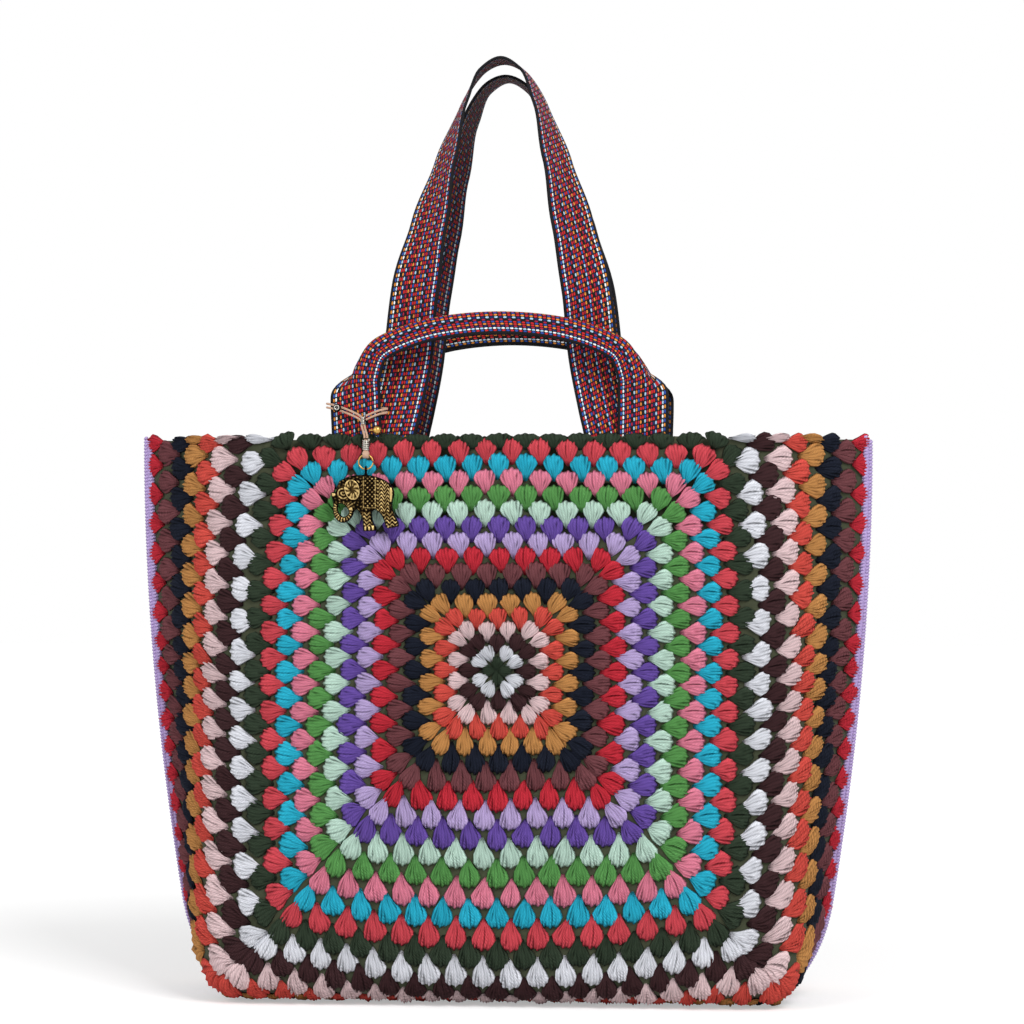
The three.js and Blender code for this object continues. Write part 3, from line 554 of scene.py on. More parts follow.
def yarn(name, code):
    """Matt acrylic yarn of two twisted plies, a little lighter or darker from one cluster to the next. Shade
    is painted into its colour: darker between the plies, lighter on their crests, and near black in the
    grooves between strands.
    """
    material, tree, shader = finish(name, Roughness=0.95, Specular_IOR_Level=0.15)
    base = colour(code)
    # dark and pale: the ends of the yarn's tone, which is random tone mixed with painted shade between the
    # plies and painted light on their crests. deep: near-black painted shade for the grooves between strands.
    dark, deep = (tuple(share * c for c in base[:3]) + (1.0,) for share in (0.72, 0.13))
    pale = tuple(min(1.0, 1.12 * c + 0.01) for c in base[:3]) + (1.0,)
    strand = node(tree, "ShaderNodeUVMap", uv_map="UVMap").outputs[0]
    place = node(tree, "ShaderNodeSeparateXYZ", (strand,)).outputs
    # Ply twist: a bump, and through the tone below it also paints shade between the plies and light on their
    # crests.
    ply = maths(tree, "MULTIPLY_ADD", place[1], 0.42, maths(tree, "MULTIPLY", place[0], 2.0))
    wave = maths(tree, "SINE", maths(tree, "MULTIPLY", ply, 2 * math.pi))
    twist = maths(tree, "MULTIPLY_ADD", wave, 0.5, 0.5)
    where = node(tree, "ShaderNodeTexCoord").outputs["Object"]
    fuzz = node(tree, "ShaderNodeTexNoise", {"Vector": where, "Scale": 1400, "Detail": 3}).outputs[0]
    shade = node(tree, "ShaderNodeAttribute", attribute_name="shade").outputs["Fac"]
    tone = maths(tree, "MULTIPLY_ADD", fuzz, 0.35, maths(tree, "MULTIPLY", shade, 0.3))
    tone = maths(tree, "MULTIPLY_ADD", twist, 0.45, tone)
    # Painted shade: an attribute from the cluster shape, made patchy by noise, blends the yarn towards the
    # near-black deep colour in the grooves between strands and along each cluster's foot and end.
    groove = node(tree, "ShaderNodeAttribute", attribute_name="groove").outputs["Fac"]
    loose = node(tree, "ShaderNodeTexNoise", {"Vector": where, "Scale": 330, "Detail": 1}).outputs[0]
    patchy = maths(tree, "MULTIPLY_ADD", loose, 1.2, 0.2)
    hollow = maths(tree, "MULTIPLY", maths(tree, "POWER", groove, 1.6), patchy)
    tree.links.new(blend(tree, hollow, blend(tree, tone, dark, pale), deep), shader.inputs[0])
    bump(tree, shader, maths(tree, "MULTIPLY_ADD", fuzz, 0.5, twist), 0.6, 0.35 * MM)
    return material


YARNS = (
    ("dark_green", "2d3b2b"), ("white", "e6e8f0"), ("dark_brown", "3b2023"), ("pale_pink", "eaccce"),
    ("coral", "dc5146"), ("mustard", "c88d4f"), ("navy", "0f1627"), ("mauve_brown", "744146"),
    ("red", "c82a3a"), ("lavender", "bfaadb"), ("purple", "6a4ea6"), ("mint", "c3e2d2"),
    ("green", "59984f"), ("pink", "e6839b"), ("turquoise", "26b5d3"), ("coral_red", "d74a55"),
)
bag_form = form_sheet()
clusters = [cluster(f"cluster_{k}", 40 + k) for k in range(4)]
round_group = crochet_tree()
yarn_finish = [yarn(f"yarn_{name}", code) for name, code in YARNS]


def grown(start, group, values):
    """The plain mesh that Geometry Nodes with these input values make from a starting mesh."""
    tree, sockets = group
    source = add(f"{start.name}_source", start)
    modifier = source.modifiers.new("growth", "NODES")
    modifier.node_group = tree
    for key, value in values.items():
        modifier[sockets[key]] = value
    depsgraph = bpy.context.evaluated_depsgraph_get()
    mesh = bpy.data.meshes.new_from_object(
        source.evaluated_get(depsgraph), preserve_all_data_layers=True, depsgraph=depsgraph
    )
    bpy.data.objects.remove(source)
    return mesh


def crocheted(panel, index, places, seed, half_turn):
    """All clusters that one yarn makes in one panel."""
    name = f"{panel}_{YARNS[index][0]}"
    mesh = bpy.data.meshes.new(f"{name}_places")
    mesh.from_pydata([(girth * MM, -below * MM, 0) for _, girth, below, *_ in places], [], [])
    for label, column in (("turn", 3), ("wide", 4), ("tall", 5)):
        layer = mesh.attributes.new(label, "FLOAT", "POINT")
        layer.data.foreach_set("value", [place[column] for place in places])
    kinds = mesh.attributes.new("kind", "INT", "POINT")
    kinds.data.foreach_set("value", np.random.default_rng(seed + index).integers(0, 4, len(places)).tolist())
    values = {f"Cluster {k}": shape for k, shape in enumerate(clusters, 1)}
    values |= {"Form": bag_form, "Yarn": yarn_finish[index], "Seed": seed + index, "Half turn": half_turn}
    made = add(name, grown(mesh, round_group, values))
    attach(made, "bag")
    return made


for panel, seed, half_turn in (("front", 100, 0.0), ("back", 300, math.pi)):
    whole = layout(seed)
    for index in range(len(YARNS)):
        places = [c for c in whole if (c[0] - 1) % len(YARNS) == index]
        made = crocheted(panel, index, places, seed, half_turn)
        if index == 0:
            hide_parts(f"crochet_{panel}")
for helper in (bag_form, *clusters):
    bpy.data.objects.remove(helper)


# Lining: a sewn bag of plain olive canvas inside the crochet, ending just below the rim. It shows between
# the clusters and at the mouth. It stands off at the hem, with a facing over the sewn ends of the webbing.
LINING_CLOTH = 1.2
LINING_DROP = 3.0
LINING_REACH = 262.3  # round the cloth, just short of the side seam
LINING_GAP, HEM_STAND_OFF = 0.4, 5.2  # from the crochet, and where the webbing is sewn in
HEM_RISE, HEM_FALL, HEM_DEPTH = (14.5, 40.5), (134.5, 160.5), (48, 74)  # where the stand-off comes and goes
FACING_DROP = 33.0  # depth of the canvas facing that covers the ends of the webbing
FACING_SPAN = 52, 124  # round the cloth, over one strap's and one handle's end
FACING_GAPS = 0.08, 0.3  # its two faces inside the crochet


def lining_gap(girth, below):
    along = np.abs(girth)
    hem = ease(along, *HEM_RISE) * (1 - ease(along, *HEM_FALL)) * (1 - ease(below, *HEM_DEPTH))
    return mix(LINING_GAP, HEM_STAND_OFF, hem)


def lining_mesh():
    """Both cloth faces of the lining, round both halves of the bag, and the four facings."""
    columns, rows = 105, 75
    foot = WALL_LENGTH + ROLL_LENGTH + BASE_LENGTH - 0.3
    girth, below = np.meshgrid(
        np.linspace(-LINING_REACH, LINING_REACH, columns), np.linspace(LINING_DROP, foot, rows)
    )
    out = form_out(girth, below)
    faces, points, flat = [], [], []
    for cloth in (0.0, LINING_CLOTH):
        half = form(girth, below) - out * (lining_gap(girth, below) + cloth)[..., None]
        half[-1, :, 1] = np.minimum(half[-1, :, 1], -0.15)
        points.append(np.concatenate([half, half * (-1, -1, 1)], axis=1).reshape(-1, 3))
        turned = np.concatenate([girth, girth + 2 * HALF_GIRTH], axis=1)
        flat.append(np.stack([turned, np.concatenate([below, below], axis=1)], axis=-1).reshape(-1, 2))
    n = 2 * columns
    inside = rows * n
    for r in range(rows - 1):
        for i in range(n):
            j = (i + 1) % n
            quad = [(r + 1) * n + i, (r + 1) * n + j, r * n + j, r * n + i]
            faces.append(quad)
            faces.append([k + inside for k in reversed(quad)])
    last = (rows - 1) * n
    for i in range(columns - 1):
        strip = [last + i, last + n - 1 - i, last + n - 2 - i, last + i + 1]
        faces.append(strip)
        faces.append([k + inside for k in reversed(strip)])
    for i in range(n):
        j = (i + 1) % n
        faces.append([i, j, j + inside, i + inside])
    columns, rows = 19, 9
    size = rows * columns
    grid = np.arange(size).reshape(rows, columns)
    ring = [*grid[0].tolist(), *grid[1:, -1].tolist(), *grid[-1, -2::-1].tolist(), *grid[-2:0:-1, 0].tolist()]
    for side in (-1, 1):
        for half in (1, -1):
            span = side * np.linspace(*FACING_SPAN, columns)
            patch = np.meshgrid(span, np.linspace(1.0, FACING_DROP, rows))
            start = sum(len(part) for part in points)
            for cloth in FACING_GAPS:
                sheet = form(*patch) - form_out(*patch) * cloth
                points.append(sheet.reshape(-1, 3) * (half, half, 1))
                flat.append(np.stack(patch, axis=-1).reshape(-1, 2))
            for r in range(rows - 1):
                for i in range(columns - 1):
                    places = (r + 1, i), (r + 1, i + 1), (r, i + 1), (r, i)
                    quad = [start + row * columns + column for row, column in places]
                    faces += [quad[::side], [k + size for k in quad[::-side]]]
            for a, b in zip(ring, ring[1:] + ring[:1]):
                faces.append([start + k for k in (a, b, b + size, a + size)][::side])
    mesh = bpy.data.meshes.new("lining")
    mesh.from_pydata((np.concatenate(points) * MM).tolist(), [], faces)
    layer = mesh.uv_layers.new(name="UVMap")
    corners = np.array([k for face in faces for k in face])
    layer.data.foreach_set("uv", (np.concatenate(flat) * MM)[corners].reshape(-1))
    mesh.shade_smooth()
    return mesh


def canvas():
    material, tree, shader = finish("olive_canvas", Roughness=0.92, Sheen_Weight=0.1)
    cloth = node(tree, "ShaderNodeUVMap", uv_map="UVMap").outputs[0]
    place = node(tree, "ShaderNodeSeparateXYZ", (cloth,)).outputs
    warp = maths(tree, "SINE", maths(tree, "MULTIPLY", place[0], 2 * math.pi / (1.1 * MM)))
    weft = maths(tree, "SINE", maths(tree, "MULTIPLY", place[1], 2 * math.pi / (1.1 * MM)))
    weave = maths(tree, "MULTIPLY_ADD", maths(tree, "MULTIPLY", warp, weft), 0.5, 0.5)
    slub = node(tree, "ShaderNodeTexNoise", {"Vector": cloth, "Scale": 260, "Detail": 4}).outputs[0]
    tone = maths(tree, "MULTIPLY_ADD", weave, 0.45, maths(tree, "MULTIPLY", slub, 0.55))
    tree.links.new(blend(tree, tone, colour("23271a"), colour("474d33")), shader.inputs[0])
    bump(tree, shader, weave, 0.4, 0.25 * MM)
    return material


lining = add("lining_bag", lining_mesh(), canvas())
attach(lining, "bag")
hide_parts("lining")


# Side and base seam: lavender yarn whipped over the edges of the two squares in slanting turns, from the
# rim down one side, along the base and up the other side.
SEAM_PITCH = 2.3
SEAM_TURN = 3.1  # radius of the turns
SEAM_YARN = 1.0  # radius of the yarn
SEAM_OUT, SEAM_UNDER = 1.0, 2.6  # the seam's middle outside the squares' edge, at the side and at the base


def seam_path():
    below = np.concatenate([np.linspace(3.0, 330, 60), np.linspace(336, WALL_LENGTH + ROLL_LENGTH, 24)])
    edge = form(np.full_like(below, HALF_GIRTH), below)
    roll = np.clip((below - WALL_LENGTH) / ROLL_LENGTH, 0, 1) * math.pi / 2
    edge[:, 0] += SEAM_OUT * np.cos(roll)
    edge[:, 1] = 0
    edge[:, 2] -= SEAM_UNDER * np.sin(roll)
    return np.concatenate([edge, edge[::-1] * (-1, 1, 1)])


def stitch():
    turns = np.linspace(0, 1.9 * math.pi, 9)
    ring = [(SEAM_TURN * math.cos(t), SEAM_TURN * math.sin(t), 2.4 * t / math.pi - 2.2) for t in turns]
    return add("seam_stitch", strand("seam_stitch", ring, SEAM_YARN, 5, 10))


def tube(tree, line, radius):
    """A round tube along a curve, with closed ends."""
    edge = node(tree, "GeometryNodeCurvePrimitiveCircle", {"Resolution": 8, "Radius": radius}).outputs[0]
    return node(tree, "GeometryNodeCurveToMesh", {
        "Curve": line, "Profile Curve": edge, "Fill Caps": True,
    }).outputs[0]


def seam_tree():
    """Stitches set along a line at an even pitch, round a core."""
    tree, sockets, given = node_group("whipped_seam", "Seam", (
        ("Line", "Geometry"), ("Stitch", "Object"), ("Pitch", "Float"), ("Core", "Float"),
        ("Yarn", "Material"), ("Seed", "Int"),
    ))
    line = node(tree, "GeometryNodeMeshToCurve", (given["Line"],)).outputs[0]
    places = node(tree, "GeometryNodeCurveToPoints", {
        "Curve": line, "Length": given["Pitch"],
    }, mode="LENGTH").outputs
    shape = node(tree, "GeometryNodeObjectInfo", (given["Stitch"],)).outputs["Geometry"]
    placed = node(tree, "GeometryNodeInstanceOnPoints", {
        "Points": places["Points"], "Instance": shape, "Rotation": places["Rotation"],
    }).outputs[0]
    dye = node(tree, "FunctionNodeRandomValue", data_type="FLOAT")
    tree.links.new(given["Seed"], dye.inputs["Seed"])
    shaded = node(tree, "GeometryNodeStoreNamedAttribute", {
        "Geometry": placed, "Name": "shade", "Value": dye.outputs[1],
    }, data_type="FLOAT", domain="INSTANCE").outputs[0]
    both = node(tree, "GeometryNodeJoinGeometry", (shaded,))
    tree.links.new(tube(tree, line, given["Core"]), both.inputs[0])
    real = node(tree, "GeometryNodeRealizeInstances", (both.outputs[0],)).outputs[0]
    group_end(tree, real, given["Yarn"])
    return tree, sockets


seam_line = bpy.data.meshes.new("seam_line")
seam_points = (seam_path() * MM).tolist()
seam_line.from_pydata(seam_points, [(k, k + 1) for k in range(len(seam_points) - 1)], [])
seam_stitch = stitch()
lavender = yarn_finish[[name for name, _ in YARNS].index("lavender")]
seam = add("whipped_seam", grown(seam_line, seam_tree(), {
    "Stitch": seam_stitch, "Pitch": SEAM_PITCH * MM, "Core": SEAM_TURN * MM, "Yarn": lavender, "Seed": 7,
}))
bpy.data.objects.remove(seam_stitch)
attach(seam, "bag")
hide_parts("joining_seam")


# Shoulder straps and carry handles: 35 mm woven band with black edges and rows of coloured floats. Each end
# is sewn into the hem. The straps turn edge-on at the top, and the handles are folded lengthwise to a grip.
WEB_WIDTH = 35.0
WEB_HALF = 1.0  # half its thickness
RIM_DEPTH = 45.076  # the crochet's inner face at the rim
WEB_COLUMNS = 1.5  # width of one row of floats
FLOAT_REPEAT = 6.2  # one float of each of a row's two colours
FLOAT_FILL = 0.42  # half of a float, as a share of its room
WEB_POINTS = 29  # across each face of the band
STRAP_ASIDE, HANDLE_ASIDE = -76, -99  # the left legs
STRAP_LAYER, HANDLE_LAYER = 3.8, 1.4  # the legs' middle inside the crochet's inner face
STRAP_TOP_DEPTH = -18.8


def in_hem(layer, z):
    return layer + float(section(z, 0.0)[1])


def hem_stations(x, layer):
    """Stations are across, depth, height, and the band's twist and fold in degrees."""
    return [(x, in_hem(layer, z), z, 0, 0) for z in (363.0, 385.5, 393.0)]


def with_right_leg(left):
    return left + [(-s[0], *s[1:]) for s in left[-2::-1]]


def strap_stations(rise):
    shares = (
        (0.08, 0.06, 0.1, 0), (0.21, 0.15, 0.3, 3), (0.39, 0.217, 0.324, 14), (0.56, 0.342, 0.413, 38),
        (0.73, 0.487, 0.59, 60), (0.88, 0.645, 0.835, 78), (0.97, 0.803, 0.97, 87), (1, 1, 1, 90),
    )
    root = in_hem(STRAP_LAYER, RIM)
    return with_right_leg(hem_stations(STRAP_ASIDE, STRAP_LAYER) + [
        (mix(STRAP_ASIDE, 0, inward), mix(root, STRAP_TOP_DEPTH, back), RIM + up * rise, twist, 0)
        for up, inward, back, twist in shares
    ])


def handle_stations(rise):
    shares = (
        (0.3, -0.005, 0, 0, 0), (0.5, 0.005, 0.54, 42, 0.55), (0.74, 0.1, 1, 74, 0.98), (0.87, 0.3, 1, 82, 1),
        (0.96, 0.586, 1, 88, 1), (1, 1, 1, 90, 1),
    )
    return with_right_leg(hem_stations(HANDLE_ASIDE, HANDLE_LAYER) + [
        (mix(HANDLE_ASIDE, 0, inward), -RIM_DEPTH - mix(1.4, 7, forward), RIM + up * rise, twist, 84 * fold)
        for up, inward, forward, twist, fold in shares
    ])


def web_section(fold):
    """Across and face of the band's middle, and the band's lean, from edge to edge."""
    w = np.linspace(-WEB_WIDTH / 2, WEB_WIDTH / 2, WEB_POINTS)
    fine = np.linspace(0, WEB_WIDTH / 2, 71)
    lean = math.radians(fold) * np.clip(fine / 6.2, 0, 1)
    step = fine[1] - fine[0]
    across = np.concatenate([[0], np.cumsum(np.cos(lean[:-1]) * step)])
    down = np.concatenate([[0], np.cumsum(np.sin(lean[:-1]) * step)])
    size = np.abs(w)
    return (
        w, np.sign(w) * np.interp(size, fine, across), -np.interp(size, fine, down),
        np.sign(w) * np.interp(size, fine, lean),
    )


def band_mesh(name, stations, count, half_turn):
    """The woven band along its stations. Its UV map is across the band and along it, in band widths."""
    line = np.array(smooth_line([s[:3] for s in stations], count))
    tangent, along = along_line(line)
    points, flat = [], []
    for k in range(count + 1):
        place = k / count * (len(stations) - 1)
        i = min(int(place), len(stations) - 2)
        share = ease(place - i, 0, 1)
        twist, fold = (mix(stations[i][c], stations[i + 1][c], share) for c in (3, 4))
        way = Vector(tangent[k])
        face = Vector((0, -1, 0))
        face = (face - way * face.dot(way)).normalized()
        face.rotate(Matrix.Rotation(-math.radians(twist), 3, way))
        face, across = np.array(face), np.array(way.cross(face))
        w, x, h, lean = web_section(fold)
        thick = WEB_HALF * (1 - 0.5 * ease(np.abs(w), 16.2, 17.5))
        for sign, order in ((1, slice(None)), (-1, slice(None, None, -1))):
            px = (x + sign * thick * np.sin(lean))[order]
            ph = (h + sign * thick * np.cos(lean))[order]
            points.append(line[k] + px[:, None] * across + ph[:, None] * face)
            reach = np.full(len(w), along[k] / WEB_WIDTH)
            flat.append(np.stack([w[order] / WEB_WIDTH + 0.5, reach], axis=-1))
    n = 2 * WEB_POINTS
    faces = tube_faces(count + 1, n)
    sides = ([0] * WEB_POINTS + [1] * WEB_POINTS) * count
    for i in range(WEB_POINTS - 1):
        strip = [i, i + 1, n - 2 - i, n - 1 - i]
        faces += [strip[::-1], [count * n + q for q in strip]]
        sides += [0, 0]
    points = np.concatenate(points) * MM
    if half_turn:
        points *= (-1, -1, 1)
    mesh = bpy.data.meshes.new(name)
    mesh.from_pydata(points.tolist(), [], faces)
    corners = np.array([k for face in faces for k in face])
    mesh.uv_layers.new(name="UVMap").data.foreach_set("uv", np.concatenate(flat)[corners].reshape(-1))
    mesh.polygons.foreach_set("material_index", sides)
    mesh.shade_smooth()
    return mesh


FLOATS = {
    "navy": "1d2560", "blue": "2f4fa8", "light": "a9cbe4", "white": "f4f5f7", "red": "c8252a",
    "crimson": "a51d3c", "orange": "e08c38", "black": "0d0c10",
}
FLOAT_ROWS = (
    "blue orange", "white light", "red black", "orange red", "light navy", "red navy", "crimson red",
    "orange black", "red crimson", "light blue", "red black", "orange red", "blue crimson", "red orange",
    "light navy", "crimson black", "red blue", "orange red", "crimson navy", "white light", "blue red",
)


def webbing(name, strength):
    """Floats of two colours in turn along each row, proud of a black ground, with plain black edges."""
    material, tree, shader = finish(name, Roughness=0.8, Specular_IOR_Level=0.2)
    flat = node(tree, "ShaderNodeUVMap", uv_map="UVMap").outputs[0]
    place = node(tree, "ShaderNodeSeparateXYZ", (flat,)).outputs
    across = maths(tree, "MULTIPLY", place[0], WEB_WIDTH)
    along = maths(tree, "MULTIPLY", place[1], WEB_WIDTH)
    edge = (WEB_WIDTH - WEB_COLUMNS * len(FLOAT_ROWS)) / 2
    row = maths(tree, "DIVIDE", maths(tree, "SUBTRACT", across, edge), WEB_COLUMNS)
    index = maths(tree, "FLOOR", row)
    aside = maths(tree, "SUBTRACT", maths(tree, "SUBTRACT", row, index), 0.5)
    start = maths(tree, "FRACT", maths(tree, "MULTIPLY", index, 0.43))
    turn = maths(tree, "FRACT", maths(tree, "ADD", maths(tree, "DIVIDE", along, FLOAT_REPEAT), start))
    double = maths(tree, "MULTIPLY", turn, 2.0)
    second = maths(tree, "GREATER_THAN", double, 1.0)
    ahead = maths(tree, "SUBTRACT", maths(tree, "FRACT", double), 0.5)
    share = maths(tree, "DIVIDE", maths(tree, "ADD", index, 0.5), float(len(FLOAT_ROWS)))
    pairs = [row_pair.split() for row_pair in FLOAT_ROWS]
    dyes = []
    for c in (0, 1):
        stops = [(k / len(pairs), colour(FLOATS[pair[c]])) for k, pair in enumerate(pairs)]
        dyes.append(ramp(tree, share, stops, "CONSTANT"))
    dye = blend(tree, second, dyes[0], dyes[1])
    x = maths(tree, "POWER", maths(tree, "DIVIDE", aside, FLOAT_FILL), 2.0)
    y = maths(tree, "POWER", maths(tree, "ABSOLUTE", maths(tree, "DIVIDE", ahead, FLOAT_FILL)), 3.0)
    dome = maths(tree, "SUBTRACT", 1.0, maths(tree, "ADD", x, y))
    raised = maths(tree, "SQRT", maths(tree, "MAXIMUM", dome, 0.0))
    past = maths(tree, "GREATER_THAN", row, 0.0)
    short = maths(tree, "LESS_THAN", row, float(len(FLOAT_ROWS)))
    proud = maths(tree, "MULTIPLY", raised, maths(tree, "MULTIPLY", past, short))
    full = maths(tree, "MINIMUM", maths(tree, "MULTIPLY", proud, 1.3), 1.0)
    shown = maths(tree, "MULTIPLY", full, strength)
    ribs = maths(tree, "SINE", maths(tree, "MULTIPLY", along, 2 * math.pi / 1.05))
    ground = blend(tree, maths(tree, "MULTIPLY_ADD", ribs, 0.5, 0.5), colour("08080b"), colour("17161b"))
    tree.links.new(blend(tree, shown, ground, dye), shader.inputs[0])
    bump(tree, shader, maths(tree, "MULTIPLY_ADD", ribs, 0.12, proud), 0.7, 0.5 * MM)
    return material


WEB_FACE, WEB_REVERSE = webbing("woven_band", 1.0), webbing("woven_band_reverse", 0.4)
for label, stations, count, half_turn in (
    ("shoulder_strap_front", strap_stations(262), 150, False),
    ("shoulder_strap_back", strap_stations(254), 150, True),
    ("carry_handle_front", handle_stations(84), 130, False),
    ("carry_handle_back", handle_stations(82), 130, True),
):
    name = f"woven_{label}"
    band = add(name, band_mesh(name, stations, count, half_turn), WEB_FACE, WEB_REVERSE)
    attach(band, "bag")
    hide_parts(label)


# Elephant charm: cast brass with an ear, a saddle cloth and wrinkled skin in relief, black in the hollows.
# An eyelet across its back hangs on the jump ring.
CHARM_AT = np.array([-91, -56.976, 374.5])  # the jump ring's middle, in millimetres
ELEPHANT_AT = CHARM_AT - (0, 0, 25.55)
EYELET_UP = 19.8  # the eyelet's middle above the elephant's
RELIEF_STEP = 0.42


def elephant_loops():
    """The outline and the gap inside the curled trunk."""
    back = [
        (-18.2, 12.5), (-12.1, 15.4), (-5, 16.5), (0, 16.6), (5.7, 15.8), (11.1, 13.9), (15.7, 11.2),
        (18.7, 7.8), (19.8, 3.6), (18.6, -1.6), (18.4, -5.6), (20.2, -10.8), (22.8, -16.6),
    ]
    belly = [
        (13.6, -18.4), (12.8, -15.2), (10.9, -11.2), (8.4, -8.5), (6.2, -7.4), (4.5, -9), (4.4, -13),
        (5.4, -16.6), (7.4, -19.6),
    ]
    trunk = [
        (-1.9, -19.8), (-1.9, -16), (-3, -12.1), (-4.6, -8.9), (-6.3, -7.4), (-8, -8.6), (-9.3, -11.8),
        (-11.4, -14.5), (-14.3, -16.2), (-17.5, -16.2), (-20.4, -14.3), (-22.2, -10.7), (-22.7, -6.4),
        (-22.6, -1.8), (-23.8, 1.8), (-24.2, 3.8), (-22.9, 5), (-21.1, 4.8), (-19.8, 8.7), (-18.2, 12.5),
    ]
    gap = [
        (-19.2, -3.4), (-19.2, -7.6), (-17.6, -11), (-15.3, -12.2), (-13, -11.2), (-11.7, -8.9),
        (-12.9, -6.2), (-16.2, -3.4), (-19.2, -3.4),
    ]

    def smooth(points):
        return [tuple(p)[:2] for p in smooth_line([(*at, 0) for at in points], 5 * (len(points) - 1))]

    hind_foot, fore_foot = [(22.9, -18.9), (15.2, -20.4)], [(7.2, -21.9), (-1.6, -22.3)]
    outline = smooth(back) + hind_foot + smooth(belly) + fore_foot + smooth(trunk)[:-1]
    return np.array(outline), np.array(smooth(gap)[:-1])


def inside(points, loop):
    odd = np.zeros(len(points), bool)
    x, y = points.T
    for (x1, y1), (x2, y2) in zip(loop, np.roll(loop, -1, axis=0)):
        odd ^= ((y1 > y) != (y2 > y)) & (x < (x2 - x1) * (y - y1) / (y2 - y1 + 1e-12) + x1)
    return odd


def edge_distance(points, loops):
    nearest = np.full(len(points), 1e9)
    for loop in loops:
        for a, b in zip(loop, np.roll(loop, -1, axis=0)):
            share = np.clip((points - a) @ (b - a) / ((b - a) @ (b - a)), 0, 1)
            nearest = np.minimum(nearest, np.linalg.norm(points - a - share[:, None] * (b - a), axis=1))
    return nearest


def elephant_relief(x, z):
    """Height of the cast detail above the smooth body, and how much it is rubbed bright.

    Places and lengths are in millimetres from the elephant's middle.
    """
    def wave(value, pitch):
        return 0.5 + 0.5 * np.cos(2 * math.pi * value / pitch)

    def between(value, low, high):
        return ease(value, low - 0.3, low + 0.3) * (1 - ease(value, high - 0.3, high + 0.3))

    skin = 0.4 * wave(x + 0.6 * np.sin(z), 2.6) * wave(z + 0.6 * np.sin(1.3 * x), 2.4)
    cloth = between(x, -1.8, 7.4) * between(z, -6.6, 15.5)
    net = 0.5 * wave(x + z, 3.1) * wave(x - z, 3.1)
    border = np.maximum(1 - np.abs(x - 6.9) / 0.55, 1 - np.abs(x + 1.3) / 0.55)
    border = np.maximum(border, 1 - np.abs(z + 6.0) / 0.55)
    relief = mix(skin, np.maximum(net, 0.55 * np.clip(border, 0, 1)), cloth)
    rump = between(x, 7.9, 16.6) * between(z, -9, 13)
    relief = mix(relief, 0.5 * wave(z + 1.4 * np.abs((x / 4.4) % 1 - 0.5) * 4.4, 2.5), rump)
    tail = between(x, 16.9, 18.6) * between(z, -2, 8)
    relief = mix(relief, 0.55, tail)
    leg = 1 - ease(z, -10, -8)
    relief = mix(relief, 0.45 * wave(z + 0.9 * np.sin(1.6 * x), 2.6), leg * (x > -8))
    toes = (1 - ease(z, -19.4, -18.6)) * (x > -8)
    relief = mix(relief, 0.7 * wave(x, 2.6), toes)
    swirl = np.hypot(x + 15.6, z - 4.2)
    turn = np.arctan2(z - 4.2, x + 15.6)
    relief = mix(relief, 0.5 * wave(swirl - 2.2 * turn / (2 * math.pi), 2.2), 1 - ease(swirl, 4.2, 5.2))
    curl = np.arctan2(z + 7.6, x + 15.6)
    trunk = (1 - ease(z, -3.2, -1.6)) * (x < -9)
    relief = mix(relief, 0.5 * wave(curl * 8.5, 2.43), trunk)
    tip = np.hypot(x + 22.6, z - 3.4)
    relief = mix(relief, 0.5, 1 - ease(tip, 1.2, 2.0))
    c, s = math.cos(0.25), math.sin(0.25)
    ex, ez = (c * (x + 9.2) + s * (z - 6.4)) / 5.2, (-s * (x + 9.2) + c * (z - 6.4)) / 7.2
    ear = np.hypot(ex, ez)
    ribs = wave(np.arctan2(ez, ex) * 5 / math.pi + 0.7 * ear, 1)
    folds = np.where(ear < 0.86, ribs * ease(ear, 0.1, 0.5), 1.0)
    tone = np.where(ear < 1, 0.3 + 0.6 * folds, 1.8 * relief * ease(ear, 1, 1.15))
    dome = 0.4 + 0.45 * np.sqrt(np.clip(1 - ear ** 2, 0, 1)) + 0.25 * folds
    relief = np.where(ear < 1, dome, relief * ease(ear, 1, 1.1))
    along = np.clip((x + 9.6) / -6, 0, 1)
    tusk = np.hypot(x + 9.6 + 6 * along, z + 6.9 + 1.9 * along - 0.6 * along * (1 - along))
    tusk = np.sqrt(np.clip(1 - (tusk / 0.9) ** 2, 0, 1))
    return np.maximum(relief, tusk), np.maximum(tone, tusk)


def solid(name, shape, place):
    """A smooth mesh of a shape, with its faces outward, moved to its place."""
    bmesh.ops.recalc_face_normals(shape, faces=shape.faces)
    mesh = bpy.data.meshes.new(name)
    shape.to_mesh(mesh)
    shape.free()
    mesh.transform(place)
    mesh.shade_smooth()
    return mesh


